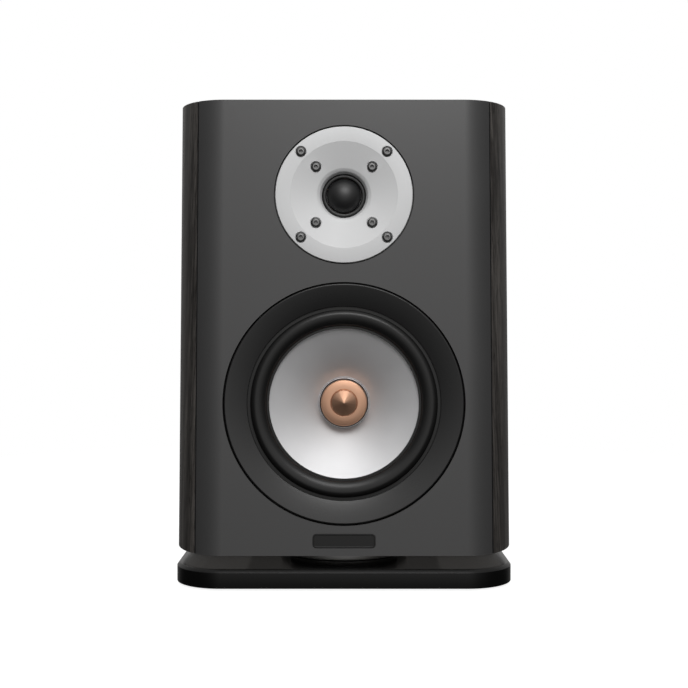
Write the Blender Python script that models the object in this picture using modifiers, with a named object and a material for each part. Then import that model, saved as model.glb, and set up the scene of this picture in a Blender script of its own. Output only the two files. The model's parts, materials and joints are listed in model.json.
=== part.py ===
"""Two-way bookshelf loudspeaker with a leaning, curved cabinet on a base plate.

Metres, +Z up. The listener stands on the -Y side. The origin is on the floor, under the middle
of the speaker's bounding box. Along a driver's axis, positions are given as depths: metres
behind the front surface of the baffle.
"""

import math

import bmesh
import bpy
from mathutils import Matrix, Vector

MM = 0.001
GAP = 0.3 * MM

# Cabinet
CABINET_HEIGHT = 339.3 * MM
CABINET_DEPTH = 310 * MM
LEAN_SLOPE = 0.0675
LEAN = math.atan(LEAN_SLOPE)
FLAT_HALF_WIDTH = 90 * MM
WRAP_WIDTH = 38 * MM
WRAP_DEPTH = 55 * MM
SIDE_RADIUS = 900 * MM
BOARD = 18 * MM
BAFFLE_THICKNESS = 22 * MM
GROOVE_X = 110.2 * MM
GROOVE_WIDTH = 1.2 * MM
GROOVE_DEPTH = 5 * MM
BRACE_BOTTOM = 223 * MM
BRACE_THICKNESS = 15 * MM
BRACE_RIM = 32 * MM

# Base
FOOT_PROUD = 1.3 * MM
FOOT_HEIGHT = 3.2 * MM
FOOT_RADIUS = 10 * MM
BASE_HALF_WIDTH = 127 * MM
BASE_DEPTH = 309 * MM
BASE_CORNER = 35.7 * MM
BASE_TAPER = math.radians(1)
BASE_THICKNESS = 14 * MM
BASE_CHAMFER = 2.3 * MM
PEDESTAL_GAP = 10.3 * MM
NOSE_RADIUS = 42 * MM
NOSE_THICKNESS = 6.2 * MM
NOSE_SETBACK = 15 * MM
NECK_RADIUS = 50 * MM
NECK_INSET = 17 * MM
NECK_TOP_GAP = 1 * MM
PEDESTAL_LENGTH = 280 * MM

# Heights above the floor
BASE_BOTTOM = FOOT_PROUD
BASE_TOP = BASE_BOTTOM + BASE_THICKNESS
CABINET_BOTTOM = BASE_TOP + PEDESTAL_GAP
CABINET_TOP = CABINET_BOTTOM + CABINET_HEIGHT
WOOFER_HEIGHT = BASE_BOTTOM + 136 * MM
TWEETER_HEIGHT = BASE_BOTTOM + 291.8 * MM
BADGE_HEIGHT = BASE_BOTTOM + 35.1 * MM
TERMINAL_HEIGHT = 112 * MM
PORT_HEIGHT = 283 * MM

# The front edge of the cabinet's underside, set so that the whole box is centred on Y.
FRONT_Y = -(CABINET_DEPTH + LEAN_SLOPE * CABINET_HEIGHT) / 2

# Drivers
TRIM_RADIUS = 89.7 * MM
WOOFER_REBATE_DEPTH = 12 * MM
WOOFER_HOLE_RADIUS = 76.5 * MM
PLATE_THICKNESS = 5 * MM
TWEETER_REBATE_RADIUS = 52.6 * MM
TWEETER_HOLE_RADIUS = 37.5 * MM
OUTER_SCREW_OFFSET = 32.4 * MM
INNER_SCREW_OFFSET = 21.1 * MM
SCREW_HEAD_RADIUS = 3.8 * MM
SCREW_HEAD_HEIGHT = 2 * MM
SCREW_SHAFT_RADIUS = 1.6 * MM
SCREW_SINK = 1.5 * MM
INNER_SEAT_DEPTH = 3.3 * MM

# Badge
BADGE_WIDTH = 46 * MM
BADGE_LENGTH = 10 * MM
BADGE_CORNER = 2.6 * MM
BADGE_THICKNESS = 1.2 * MM
BADGE_PROUD = 0.3 * MM

# Rear fittings
PORT_RADIUS = 25 * MM
PORT_WALL = 2.5 * MM
PORT_LENGTH = 140 * MM
PORT_FLANGE_RADIUS = 38 * MM
PORT_FLANGE = 4 * MM
CUP_WIDTH = 104 * MM
CUP_HEIGHT = 84 * MM
CUP_FLANGE = 3.5 * MM
RECESS_WIDTH = 80 * MM
RECESS_HEIGHT = 56 * MM
RECESS_DEPTH = 15 * MM
CUP_WALL = 3 * MM
POST_SPACING = 38 * MM
POST_RADIUS = 3 * MM
KNOB_RADIUS = 7.6 * MM
KNOB_LENGTH = 15 * MM

# Facets round a turned piece, and round the smallest fittings
FINE = 32
MEDIUM = 24
COARSE = 16
SMALL = 12
TINY = 10

QUARTER = math.pi / 2


# ---------------------------------------------------------------- scene and materials


def clear_scene():
    for item in list(bpy.data.objects):
        bpy.data.objects.remove(item, do_unlink=True)


def new_collection(name):
    collection = bpy.data.collections.new(name)
    bpy.context.scene.collection.children.link(collection)
    return collection


def new_material(name, colour, roughness, metallic=0.0):
    material = bpy.data.materials.new(name)
    material.use_nodes = True
    shader = material.node_tree.nodes["Principled BSDF"]
    shader.inputs["Base Color"].default_value = (*colour, 1.0)
    shader.inputs["Roughness"].default_value = roughness
    shader.inputs["Metallic"].default_value = metallic
    return material


clear_scene()
PARTS = new_collection("bookshelf_speaker")
CUTTERS = new_collection("cutters")

LACQUER = new_material("charcoal_satin_lacquer", (0.07, 0.07, 0.072), 0.42)
VENEER = new_material("dark_veneer", (0.035, 0.028, 0.024), 0.35)
BLACK_BOARD = new_material("black_board", (0.02, 0.02, 0.021), 0.5)
RAW_BOARD = new_material("raw_fibreboard", (0.36, 0.25, 0.15), 0.8)
GLOSS_BLACK = new_material("gloss_black", (0.01, 0.01, 0.01), 0.15)
BLACK_PLASTIC = new_material("black_plastic", (0.018, 0.018, 0.018), 0.45)
RUBBER = new_material("butyl_rubber", (0.012, 0.012, 0.012), 0.5)
CONE_METAL = new_material("anodised_aluminium", (0.72, 0.72, 0.74), 0.35, 1.0)
PLATE_METAL = new_material("satin_aluminium", (0.78, 0.78, 0.79), 0.4, 1.0)
COPPER = new_material("polished_copper", (0.8, 0.45, 0.3), 0.22, 1.0)
CAST_METAL = new_material("cast_aluminium", (0.2, 0.2, 0.21), 0.6, 1.0)
SOFT_DOME = new_material("coated_fabric", (0.012, 0.012, 0.013), 0.45)
SPIDER_CLOTH = new_material("woven_spider", (0.45, 0.28, 0.1), 0.85)
FERRITE = new_material("ferrite", (0.03, 0.03, 0.032), 0.7)
STEEL = new_material("zinc_plated_steel", (0.55, 0.55, 0.57), 0.35, 1.0)
SCREW_STEEL = new_material("black_steel", (0.12, 0.12, 0.12), 0.4, 1.0)
ENAMELLED_COPPER = new_material("enamelled_copper", (0.5, 0.22, 0.08), 0.35, 1.0)
GOLD = new_material("gold_plate", (0.83, 0.62, 0.25), 0.25, 1.0)
RED_PLASTIC = new_material("red_plastic", (0.35, 0.015, 0.015), 0.35)
BOARD_GREEN = new_material("circuit_board", (0.02, 0.09, 0.04), 0.5)
FILM = new_material("film_capacitor", (0.5, 0.42, 0.05), 0.4)
CEMENT = new_material("cement_resistor", (0.7, 0.68, 0.62), 0.8)
WADDING = new_material("polyester_wadding", (0.75, 0.75, 0.73), 0.95)


# ---------------------------------------------------------------- modelling helpers


def add_mesh(name, mesh, material=None, parent=None, smooth=None):
    """A mesh with a material is a part, and one without is a cutter."""
    item = bpy.data.objects.new(name, mesh)
    if material is None:
        CUTTERS.objects.link(item)
        item.hide_render = True
        item.display_type = "WIRE"
    else:
        PARTS.objects.link(item)
        mesh.materials.append(material)
    if smooth is not None:
        mesh.shade_smooth()
        mesh.set_sharp_from_angle(angle=smooth)
    item.parent = parent
    return item


def add_axis(name, depth, height, facing_front=True):
    """An empty on the baffle or the rear panel whose local Z points out of the cabinet."""
    axis = bpy.data.objects.new(name, None)
    PARTS.objects.link(axis)
    axis.location = (0, FRONT_Y + depth + LEAN_SLOPE * (height - CABINET_BOTTOM), height)
    if facing_front:
        axis.rotation_euler = (QUARTER - LEAN, 0, 0)
    else:
        axis.rotation_euler = (QUARTER + LEAN, 0, math.pi)
    return axis


def prism(name, outlines, bottom, top, material=None, parent=None, slope=0.0, smooth=None):
    """Extrudes closed outlines, the first one with the others as holes, from bottom to top."""
    curve = bpy.data.curves.new(name, "CURVE")
    curve.dimensions = "2D"
    curve.fill_mode = "BOTH"
    curve.extrude = (top - bottom) / 2
    for outline in outlines:
        spline = curve.splines.new("POLY")
        spline.points.add(len(outline) - 1)
        for point, (x, y) in zip(spline.points, outline):
            point.co = (x, y, 0, 1)
        spline.use_cyclic_u = True
    drawn = bpy.data.objects.new(name + "_outline", curve)
    CUTTERS.objects.link(drawn)
    evaluated = drawn.evaluated_get(bpy.context.evaluated_depsgraph_get())
    mesh = bpy.data.meshes.new_from_object(evaluated)
    bpy.data.objects.remove(drawn)
    bpy.data.curves.remove(curve)
    mesh.name = name
    weld(mesh)
    mesh.transform(Matrix.Translation((0, 0, (top - bottom) / 2)))
    shear = Matrix.Identity(4)
    shear[1][2] = slope
    mesh.transform(shear)
    item = add_mesh(name, mesh, material, parent, smooth)
    item.location.z = bottom
    return item


def weld(mesh):
    shape = bmesh.new()
    shape.from_mesh(mesh)
    bmesh.ops.remove_doubles(shape, verts=shape.verts, dist=0.00001)
    bmesh.ops.recalc_face_normals(shape, faces=shape.faces)
    shape.to_mesh(mesh)
    shape.free()


def board(name, outlines, bottom, top, material, smooth=math.radians(25)):
    """A cabinet board. Its outlines are given as half-widths and depths, and it leans back."""
    item = prism(name, outlines, bottom, top, material, None, LEAN_SLOPE, smooth)
    item.location.y = FRONT_Y + LEAN_SLOPE * (bottom - CABINET_BOTTOM)
    return item


def turned(name, profile, material=None, parent=None, steps=MEDIUM, closed=True):
    """Turns a profile of (radius, depth) points, outer side first and then front to back.

    An open profile starts and ends on the axis.
    """
    mesh = bpy.data.meshes.new(name)
    points = [(radius, 0, -depth) for radius, depth in profile]
    edges = [(i, i + 1) for i in range(len(points) - 1)]
    if closed:
        edges.append((len(points) - 1, 0))
    mesh.from_pydata(points, edges, [])
    item = add_mesh(name, mesh, material, parent)
    screw = item.modifiers.new("turn", "SCREW")
    screw.axis = "Z"
    screw.angle = 2 * math.pi
    screw.steps = steps
    screw.render_steps = steps
    screw.use_merge_vertices = True
    screw.merge_threshold = 0.00001
    screw.use_smooth_shade = True
    return item


def ring(name, inner, outer, front, back, material=None, parent=None, steps=MEDIUM):
    """A plain ring between two depths."""
    profile = [(outer, front), (outer, back), (inner, back), (inner, front)]
    return turned(name, profile, material, parent, steps)


def disc(name, radius, front, back, material=None, parent=None, steps=MEDIUM):
    """A plain disc between two depths."""
    profile = [(0, front), (radius, front), (radius, back), (0, back)]
    return turned(name, profile, material, parent, steps, closed=False)


def cylinders(name, places, radius, front, back, sides=TINY):
    """One cutter made of equal round posts at several places on a driver's face."""
    mesh = bpy.data.meshes.new(name)
    shape = bmesh.new()
    for x, y in places:
        middle = Matrix.Translation((x, y, -(front + back) / 2))
        bmesh.ops.create_cone(
            shape,
            cap_ends=True,
            segments=sides,
            radius1=radius,
            radius2=radius,
            depth=back - front,
            matrix=middle,
        )
    shape.to_mesh(mesh)
    shape.free()
    return mesh


def cut(item, cutter, operation="DIFFERENCE"):
    boolean = item.modifiers.new(cutter.name, "BOOLEAN")
    boolean.operation = operation
    boolean.object = cutter
    boolean.solver = "EXACT"


def arc(centre, radius, start, end, count):
    """Points on an arc, both ends included."""
    step = (end - start) / count
    angles = [start + step * i for i in range(count + 1)]
    return [
        (centre[0] + radius * math.cos(angle), centre[1] + radius * math.sin(angle))
        for angle in angles
    ]


def rounded_rectangle(width, height, corner, count=4):
    x = width / 2 - corner
    y = height / 2 - corner
    points = []
    for quarter, (cx, cy) in enumerate([(x, y), (-x, y), (-x, -y), (x, -y)]):
        start = quarter * QUARTER
        points += arc((cx, cy), corner, start, start + QUARTER, count)
    return points


def mirrored(half):
    """A closed outline from its right half, which starts and ends beside the middle line."""
    return half + [(-x, y) for x, y in reversed(half)]


# ---------------------------------------------------------------- cabinet outline in plan


def wrap_point(angle, inset=0.0):
    """A point on the rounded front corner, which is a quarter of an ellipse."""
    x = FLAT_HALF_WIDTH + WRAP_WIDTH * math.sin(angle)
    depth = WRAP_DEPTH * (1 - math.cos(angle))
    normal = Vector((math.sin(angle) / WRAP_WIDTH, -math.cos(angle) / WRAP_DEPTH)).normalized()
    return (x - inset * normal.x, depth - inset * normal.y)


def side_point(depth, inset=0.0):
    """A point on the long curve behind the corner, an arc that closes in towards the rear."""
    radius = SIDE_RADIUS - inset
    centre_x = FLAT_HALF_WIDTH + WRAP_WIDTH - SIDE_RADIUS
    return (centre_x + math.sqrt(radius**2 - (depth - WRAP_DEPTH) ** 2), depth)


GROOVE_ANGLE = math.asin((GROOVE_X - FLAT_HALF_WIDTH) / WRAP_WIDTH)
REAR_FACE = CABINET_DEPTH - BOARD
WRAP_STEPS = 6
SIDE_STEPS = 8


def wrap_run(inset=0.0):
    """The corner's points from just behind the groove back to the widest place."""
    step = (QUARTER - GROOVE_ANGLE) / WRAP_STEPS
    return [wrap_point(GROOVE_ANGLE + step * i, inset) for i in range(1, WRAP_STEPS + 1)]


def side_run(rear, inset=0.0):
    """The long curve's points behind the widest place, as far back as the given depth."""
    step = (CABINET_DEPTH - WRAP_DEPTH) / SIDE_STEPS
    depths = [WRAP_DEPTH + step * i for i in range(1, SIDE_STEPS)]
    return [side_point(depth, inset) for depth in depths + [rear] if depth <= rear]


def joint_point(along, inward):
    """A point beside the joint of baffle and side panel, from the groove's front corner."""
    x, depth = wrap_point(GROOVE_ANGLE)
    inner_x, inner_depth = wrap_point(GROOVE_ANGLE, 1.0)
    into = Vector((inner_x - x, inner_depth - depth))
    back = Vector((-into.y, into.x)) if into.x < 0 else Vector((into.y, -into.x))
    if back.y < 0:
        back = -back
    return (x + back.x * along + into.x * inward, depth + back.y * along + into.y * inward)


def inner_half(inset, front, rear):
    """Half the outline of a board that fits between the side panels."""
    start = (joint_point(0, inset)[0], front)
    corner = [point for point in wrap_run(inset) if point[1] > front]
    return [start] + corner + side_run(rear, inset)


# ---------------------------------------------------------------- cabinet


def make_baffle(woofer_axis, tweeter_axis, badge_axis):
    """The front board, cut for both drivers, their screws and the badge."""
    corner = [wrap_point(GROOVE_ANGLE * i / WRAP_STEPS) for i in range(WRAP_STEPS + 1)]
    reach = (BAFFLE_THICKNESS - corner[-1][1]) / (joint_point(0, 1)[1] - joint_point(0, 0)[1])
    half = corner + [joint_point(0, reach)]
    outline = mirrored(half)
    baffle = board("front_baffle", [outline], CABINET_BOTTOM, CABINET_TOP, LACQUER)
    past = 5 * MM
    through = BAFFLE_THICKNESS + past
    rebate = TRIM_RADIUS + 0.5 * MM
    cut(baffle, disc("woofer_rebate", rebate, -past, WOOFER_REBATE_DEPTH, None, woofer_axis, FINE))
    cut(baffle, disc("woofer_hole", WOOFER_HOLE_RADIUS, 0, through, None, woofer_axis, FINE))
    seat = PLATE_THICKNESS + GAP
    cut(
        baffle,
        disc("tweeter_rebate", TWEETER_REBATE_RADIUS, -past, seat, None, tweeter_axis, FINE),
    )
    cut(baffle, disc("tweeter_hole", TWEETER_HOLE_RADIUS, 0, through, None, tweeter_axis))
    pilots = cylinders(
        "screw_pilots",
        screw_places(OUTER_SCREW_OFFSET),
        SCREW_SHAFT_RADIUS + GAP,
        0,
        BAFFLE_THICKNESS - 2 * MM,
    )
    cut(baffle, add_mesh("screw_pilots", pilots, None, tweeter_axis))
    margin = 2 * GAP
    pocket = rounded_rectangle(
        BADGE_WIDTH + margin, BADGE_LENGTH + margin, BADGE_CORNER + margin / 2
    )
    floor = BADGE_THICKNESS - BADGE_PROUD + GAP
    cut(baffle, prism("badge_pocket", [pocket], -floor, past, None, badge_axis))
    return baffle


def make_side_panel(name, side):
    """A curved side panel. A shadow groove parts it from the baffle."""
    outer = wrap_run() + side_run(CABINET_DEPTH)
    inner = wrap_run(BOARD) + side_run(CABINET_DEPTH, BOARD)
    step = 2 * GAP
    front = [
        joint_point(step, BOARD),
        joint_point(step, GROOVE_DEPTH),
        joint_point(GROOVE_WIDTH, GROOVE_DEPTH),
        joint_point(GROOVE_WIDTH, 0),
    ]
    outline = front + outer + list(reversed(inner))
    outline = [(side * x, depth) for x, depth in outline]
    return board(name, [outline], CABINET_BOTTOM, CABINET_TOP, VENEER)


def make_rear_panel(port_axis, terminal_axis):
    inset = BOARD + GAP
    half = [side_point(REAR_FACE, inset), side_point(CABINET_DEPTH, inset)]
    panel = board(
        "rear_panel", [mirrored(half)], CABINET_BOTTOM, CABINET_TOP, BLACK_BOARD
    )
    past = 5 * MM
    through = BOARD + past
    cut(panel, disc("port_rebate", PORT_FLANGE_RADIUS + GAP, -past, PORT_FLANGE, None, port_axis))
    hole = PORT_RADIUS + PORT_WALL + 0.5 * MM
    cut(panel, disc("port_hole", hole, 0, through, None, port_axis))
    flange = rounded_rectangle(CUP_WIDTH + 2 * GAP, CUP_HEIGHT + 2 * GAP, 10 * MM)
    cut(panel, prism("cup_rebate", [flange], -CUP_FLANGE - GAP, past, None, terminal_axis))
    tub = rounded_rectangle(
        RECESS_WIDTH + 2 * CUP_WALL + 2 * GAP, RECESS_HEIGHT + 2 * CUP_WALL + 2 * GAP, 9 * MM
    )
    cut(panel, prism("cup_hole", [tub], -through, 0, None, terminal_axis))
    return panel


def make_cabinet_shell():
    inset = BOARD + GAP
    half = inner_half(inset, BAFFLE_THICKNESS + GAP, REAR_FACE - GAP)
    outline = mirrored(half)
    board("bottom_panel", [outline], CABINET_BOTTOM, CABINET_BOTTOM + BOARD, BLACK_BOARD)
    board("top_panel", [outline], CABINET_TOP - BOARD, CABINET_TOP, BLACK_BOARD)
    window_half = inner_half(inset + BRACE_RIM, BAFFLE_THICKNESS + BRACE_RIM, REAR_FACE - BRACE_RIM)
    window = mirrored(window_half)
    brace_top = BRACE_BOTTOM + BRACE_THICKNESS
    board("internal_brace", [outline, window], BRACE_BOTTOM, brace_top, RAW_BOARD)


def make_wadding():
    """Absorbent pads against both side walls, below the brace."""
    thickness = 16 * MM
    front = 110 * MM
    rear = 262 * MM
    bottom = CABINET_BOTTOM + BOARD + 30 * MM
    top = BRACE_BOTTOM - 12 * MM
    near = BOARD + 3 * GAP
    depths = [front + (rear - front) * i / SIDE_STEPS for i in range(SIDE_STEPS + 1)]
    outer = [side_point(depth, near) for depth in depths]
    inner = [side_point(depth, near + thickness) for depth in depths]
    for name, side in (("damping_wadding_left", -1), ("damping_wadding_right", 1)):
        outline = [(side * x, depth) for x, depth in outer + list(reversed(inner))]
        board(name, [outline], bottom, top, WADDING)


def make_badge(axis):
    """A blank plate, let into the baffle."""
    outline = rounded_rectangle(BADGE_WIDTH, BADGE_LENGTH, BADGE_CORNER)
    low = BADGE_PROUD - BADGE_THICKNESS
    return prism("badge_plate", [outline], low, BADGE_PROUD, GLOSS_BLACK, axis)


# ---------------------------------------------------------------- base


def base_outline():
    """The base plate's outline: four round corners, and sides that close in to the rear."""
    front_centre = (BASE_HALF_WIDTH - BASE_CORNER, BASE_CORNER)
    run = BASE_DEPTH - 2 * BASE_CORNER
    rear_centre = (front_centre[0] - math.tan(BASE_TAPER) * run, BASE_DEPTH - BASE_CORNER)
    half = arc(front_centre, BASE_CORNER, -QUARTER, BASE_TAPER, 7)
    half += arc(rear_centre, BASE_CORNER, BASE_TAPER, QUARTER, 7)
    return mirrored(half)


def foot_places():
    return [(-92 * MM, 40 * MM), (92 * MM, 40 * MM), (-86 * MM, 270 * MM), (86 * MM, 270 * MM)]


def chamfer_top(item, width):
    """Marks the edges round the top face, and bevels only those."""
    mesh = item.data
    top = max(vertex.co.z for vertex in mesh.vertices)
    weights = mesh.attributes.new("bevel_weight_edge", "FLOAT", "EDGE")
    faces_at = {}
    for polygon in mesh.polygons:
        for key in polygon.edge_keys:
            faces_at.setdefault(key, []).append(polygon.normal.z)
    for edge in mesh.edges:
        ends_high = all(abs(mesh.vertices[i].co.z - top) < 1e-6 for i in edge.vertices)
        slopes = faces_at[tuple(sorted(edge.vertices))]
        if ends_high and min(slopes) < 0.5:
            weights.data[edge.index].value = 1.0
    bevel = item.modifiers.new("chamfer", "BEVEL")
    bevel.limit_method = "WEIGHT"
    bevel.width = width
    bevel.segments = 1


def make_base():
    base = prism("base_plate", [base_outline()], BASE_BOTTOM, BASE_TOP, GLOSS_BLACK)
    base.location.y = FRONT_Y
    chamfer_top(base, BASE_CHAMFER)
    recess_top = FOOT_HEIGHT + GAP
    for number, (x, depth) in enumerate(foot_places(), 1):
        recess = disc(f"foot_recess_{number}", FOOT_RADIUS + GAP, -recess_top, 5 * MM, steps=SMALL)
        recess.location = (x, FRONT_Y + depth, 0)
        cut(base, recess)
        profile = [
            (0, -FOOT_HEIGHT),
            (FOOT_RADIUS, -FOOT_HEIGHT),
            (FOOT_RADIUS, -0.8 * MM),
            (FOOT_RADIUS - 0.8 * MM, 0),
            (0, 0),
        ]
        foot = turned(f"foot_{number}", profile, RUBBER, None, SMALL, closed=False)
        foot.location = (x, FRONT_Y + depth, 0)


def stadium(radius, length, count=12):
    """A slot shape, round at both ends, that starts at depth 0 and runs back."""
    near = arc((0, radius), radius, -math.pi, 0, count)
    far = arc((0, length - radius), radius, 0, math.pi, count)
    return near + far


def make_pedestal():
    """The block between base and cabinet: a straight neck, with a round nose that stands out in front."""
    low = BASE_TOP + GAP
    high = CABINET_BOTTOM - GAP
    nose = stadium(NOSE_RADIUS, PEDESTAL_LENGTH)
    pedestal = prism("pedestal", [nose], high - NOSE_THICKNESS, high, BLACK_PLASTIC)
    pedestal.location.y = FRONT_Y + NOSE_SETBACK
    neck_outline = stadium(NECK_RADIUS, PEDESTAL_LENGTH - 2 * NECK_INSET)
    neck = prism("pedestal_neck", [neck_outline], low, high - NECK_TOP_GAP)
    neck.location.y = FRONT_Y + NOSE_SETBACK + NECK_INSET
    cut(pedestal, neck, "UNION")


# ---------------------------------------------------------------- woofer


def millimetres(*pairs):
    return [(radius * MM, depth * MM) for radius, depth in pairs]


def shell(front, thickness):
    """A closed profile of a thin sheet: its front side, then its back side on the way in."""
    offset = []
    for i, (radius, depth) in enumerate(front):
        before = Vector(front[max(i - 1, 0)])
        after = Vector(front[min(i + 1, len(front) - 1)])
        along = (after - before).normalized()
        offset.append((radius - along.y * thickness, depth + along.x * thickness))
    return front + list(reversed(offset))


def surround_sheet():
    """The half roll between the cone's edge and the basket, from the inside out."""
    middle = 63.9
    half_width = 6.2
    height = 5.6
    seat = 6.0
    count = 6
    roll = []
    for i in range(count + 1):
        angle = math.pi - math.pi * i / count
        radius = middle + half_width * math.cos(angle)
        roll.append((radius * MM, (seat - height * math.sin(angle)) * MM))
    lip = [(55.9 * MM, seat * MM)]
    flange = [(71.0 * MM, seat * MM), (75 * MM, seat * MM)]
    return lip + roll + flange


def cone_sheet():
    """The cone's front side, from its neck out to the edge under the surround."""
    neck_radius = 19.4
    neck_depth = 31.5
    edge_radius = 58.0
    edge_depth = 7.1
    bow = 1.6
    count = 4
    points = []
    for i in range(count + 1):
        share = i / count
        radius = neck_radius + (edge_radius - neck_radius) * share
        depth = neck_depth + (edge_depth - neck_depth) * share
        points.append((radius * MM, (depth - bow * math.sin(math.pi * share)) * MM))
    return points


def spider_sheet():
    """Concentric waves between the former and the basket's landing."""
    inner = 19.8
    outer = 50.0
    waves = 2
    height = 1.4
    middle = 38.0
    count = 4 * waves
    points = [(inner * MM, middle * MM)]
    start = 22.0
    end = 44.6
    for i in range(count + 1):
        share = i / count
        radius = start + (end - start) * share
        depth = middle - height * math.sin(2 * math.pi * waves * share)
        points.append((radius * MM, depth * MM))
    points.append((outer * MM, middle * MM))
    return points


def make_basket(axis):
    """The cast frame: a flange, six spokes, the spider's landing and the motor's seat."""
    profile = millimetres(
        (89.5, 7.2),
        (89.5, 11.7),
        (75.6, 11.7),
        (75.0, 14.0),
        (57.0, 38.0),
        (55.0, 43.0),
        (49.0, 49.0),
        (49.0, 52.7),
        (33.0, 52.7),
        (33.0, 49.5),
        (45.5, 44.5),
        (45.5, 39.0),
        (52.0, 39.0),
        (52.0, 36.5),
        (70.0, 13.0),
        (70.0, 7.2),
    )
    basket = turned("woofer_basket", profile, CAST_METAL, axis)
    window_low = 15.5 * MM
    window_high = 35 * MM
    spokes = 6
    half_angle = math.radians(22)
    near = 40 * MM
    far = 100 * MM
    for i in range(spokes):
        middle = 2 * math.pi * (i + 0.5) / spokes
        outline = arc((0, 0), far, middle - half_angle, middle + half_angle, 4)
        outline += reversed(arc((0, 0), near, middle - half_angle, middle + half_angle, 4))
        window = prism(f"basket_window_{i + 1}", [outline], -window_high, -window_low, None, axis)
        cut(basket, window)
    return basket


def make_woofer(axis, moving):
    make_basket(axis)
    trim = millimetres(
        (88.0, 0.2),
        (89.2, 0.5),
        (89.7, 1.3),
        (89.7, 6.9),
        (75.5, 6.9),
        (75.5, 5.6),
        (72.2, 5.6),
        (72.2, 4.4),
        (80.0, 2.4),
    )
    turned("woofer_trim_ring", trim, BLACK_PLASTIC, axis, FINE)
    turned("woofer_surround", shell(surround_sheet(), 0.8 * MM), RUBBER, axis, FINE)
    turned("woofer_spider", shell(spider_sheet(), 0.7 * MM), SPIDER_CLOTH, axis, COARSE)
    ring("woofer_top_plate", 21 * MM, 48 * MM, 53 * MM, 59 * MM, STEEL, axis, COARSE)
    ring("woofer_magnet", 27 * MM, 52 * MM, 59.3 * MM, 77 * MM, FERRITE, axis)
    yoke = millimetres((0, 53), (18.2, 53), (18.2, 77.3), (50, 77.3), (50, 83.3), (0, 83.3))
    turned("woofer_back_plate", yoke, STEEL, axis, MEDIUM, closed=False)
    plug = millimetres(
        (0, 15.4),
        (0.8, 15.7),
        (9.6, 20.6),
        (9.9, 21.7),
        (10.4, 21.3),
        (13.5, 21.7),
        (16.8, 22.5),
        (17.6, 23.4),
        (17.6, 52.7),
        (0, 52.7),
    )
    turned("phase_plug", plug, COPPER, axis, MEDIUM, closed=False)
    turned("woofer_cone", shell(cone_sheet(), 0.7 * MM), CONE_METAL, moving, FINE)
    ring("voice_coil_former", 18.7 * MM, 19.1 * MM, 30.6 * MM, 63 * MM, STEEL, moving)
    ring("voice_coil", 19.4 * MM, 20.3 * MM, 49 * MM, 63 * MM, ENAMELLED_COPPER, moving)


# ---------------------------------------------------------------- tweeter


def screw_places(offset):
    return [(x * offset, y * offset) for x in (-1, 1) for y in (1, -1)]


def dome_sheet():
    """The dome's front side, from the crown out to its rim."""
    rim_radius = 12.9
    height = 6.3
    rim_depth = 9.2
    curvature = (rim_radius**2 + height**2) / (2 * height)
    span = math.asin(rim_radius / curvature)
    count = 5
    points = []
    for i in range(count + 1):
        angle = span * i / count
        sag = curvature * (1 - math.cos(angle))
        points.append((curvature * math.sin(angle) * MM, (rim_depth - height + sag) * MM))
    return points


def tweeter_roll_sheet():
    """The small half roll round the dome, then the flange that is glued behind the plate."""
    middle = 14.9
    half_width = 1.6
    height = 1.3
    seat = 9.6
    count = 4
    roll = []
    for i in range(count + 1):
        angle = math.pi - math.pi * i / count
        radius = middle + half_width * math.cos(angle)
        roll.append((radius * MM, (seat - height * math.sin(angle)) * MM))
    return roll + [(20 * MM, seat * MM)]


def make_faceplate(axis):
    """The aluminium plate with its shallow waveguide and two sets of screw seats."""
    profile = millimetres(
        (51.4, 0),
        (52.0, 0.6),
        (52.0, 5.0),
        (36.0, 5.0),
        (36.0, 9.3),
        (16.8, 9.3),
        (16.8, 7.6),
        (18.2, 5.2),
        (20.5, 3.8),
        (40.0, 0.2),
        (40.3, 0),
    )
    plate = turned("tweeter_faceplate", profile, PLATE_METAL, axis, FINE)
    sets = (
        ("outer", OUTER_SCREW_OFFSET, SCREW_SINK),
        ("inner", INNER_SCREW_OFFSET, INNER_SEAT_DEPTH),
    )
    for label, offset, seat in sets:
        places = screw_places(offset)
        heads = cylinders("seats", places, SCREW_HEAD_RADIUS + GAP, -5 * MM, seat)
        shafts = cylinders("holes", places, SCREW_SHAFT_RADIUS + GAP, 0, 15 * MM)
        cut(plate, add_mesh(f"{label}_screw_seats", heads, None, axis))
        cut(plate, add_mesh(f"{label}_screw_holes", shafts, None, axis))
    return plate


def make_screw(name, place_xy, seat, length, axis):
    """A button-head screw with a hexagon socket. Its head rests on its seat."""
    head_back = seat - GAP
    head_front = head_back - SCREW_HEAD_HEIGHT
    edge = 0.6 * MM
    profile = [
        (0, head_front),
        (SCREW_HEAD_RADIUS - edge, head_front),
        (SCREW_HEAD_RADIUS, head_front + edge),
        (SCREW_HEAD_RADIUS, head_back),
        (SCREW_SHAFT_RADIUS, head_back),
        (SCREW_SHAFT_RADIUS, head_back + length),
        (0, head_back + length),
    ]
    screw = turned(name, profile, SCREW_STEEL, axis, TINY, closed=False)
    screw.location = (place_xy[0], place_xy[1], 0)
    socket_depth = 1.2 * MM
    socket = cylinders(
        "hexagon_socket", [(0, 0)], 1.35 * MM, head_front - 1 * MM, head_front + socket_depth, 6
    )
    cutter = add_mesh(name + "_socket", socket, None, axis)
    cutter.location = screw.location
    cut(screw, cutter)


def make_screws(axis):
    for number, xy in enumerate(screw_places(OUTER_SCREW_OFFSET), 1):
        make_screw(f"faceplate_screw_{number}", xy, SCREW_SINK, 16 * MM, axis)
    for number, xy in enumerate(screw_places(INNER_SCREW_OFFSET), 1):
        make_screw(f"motor_screw_{number}", xy, INNER_SEAT_DEPTH, 10 * MM, axis)


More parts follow.
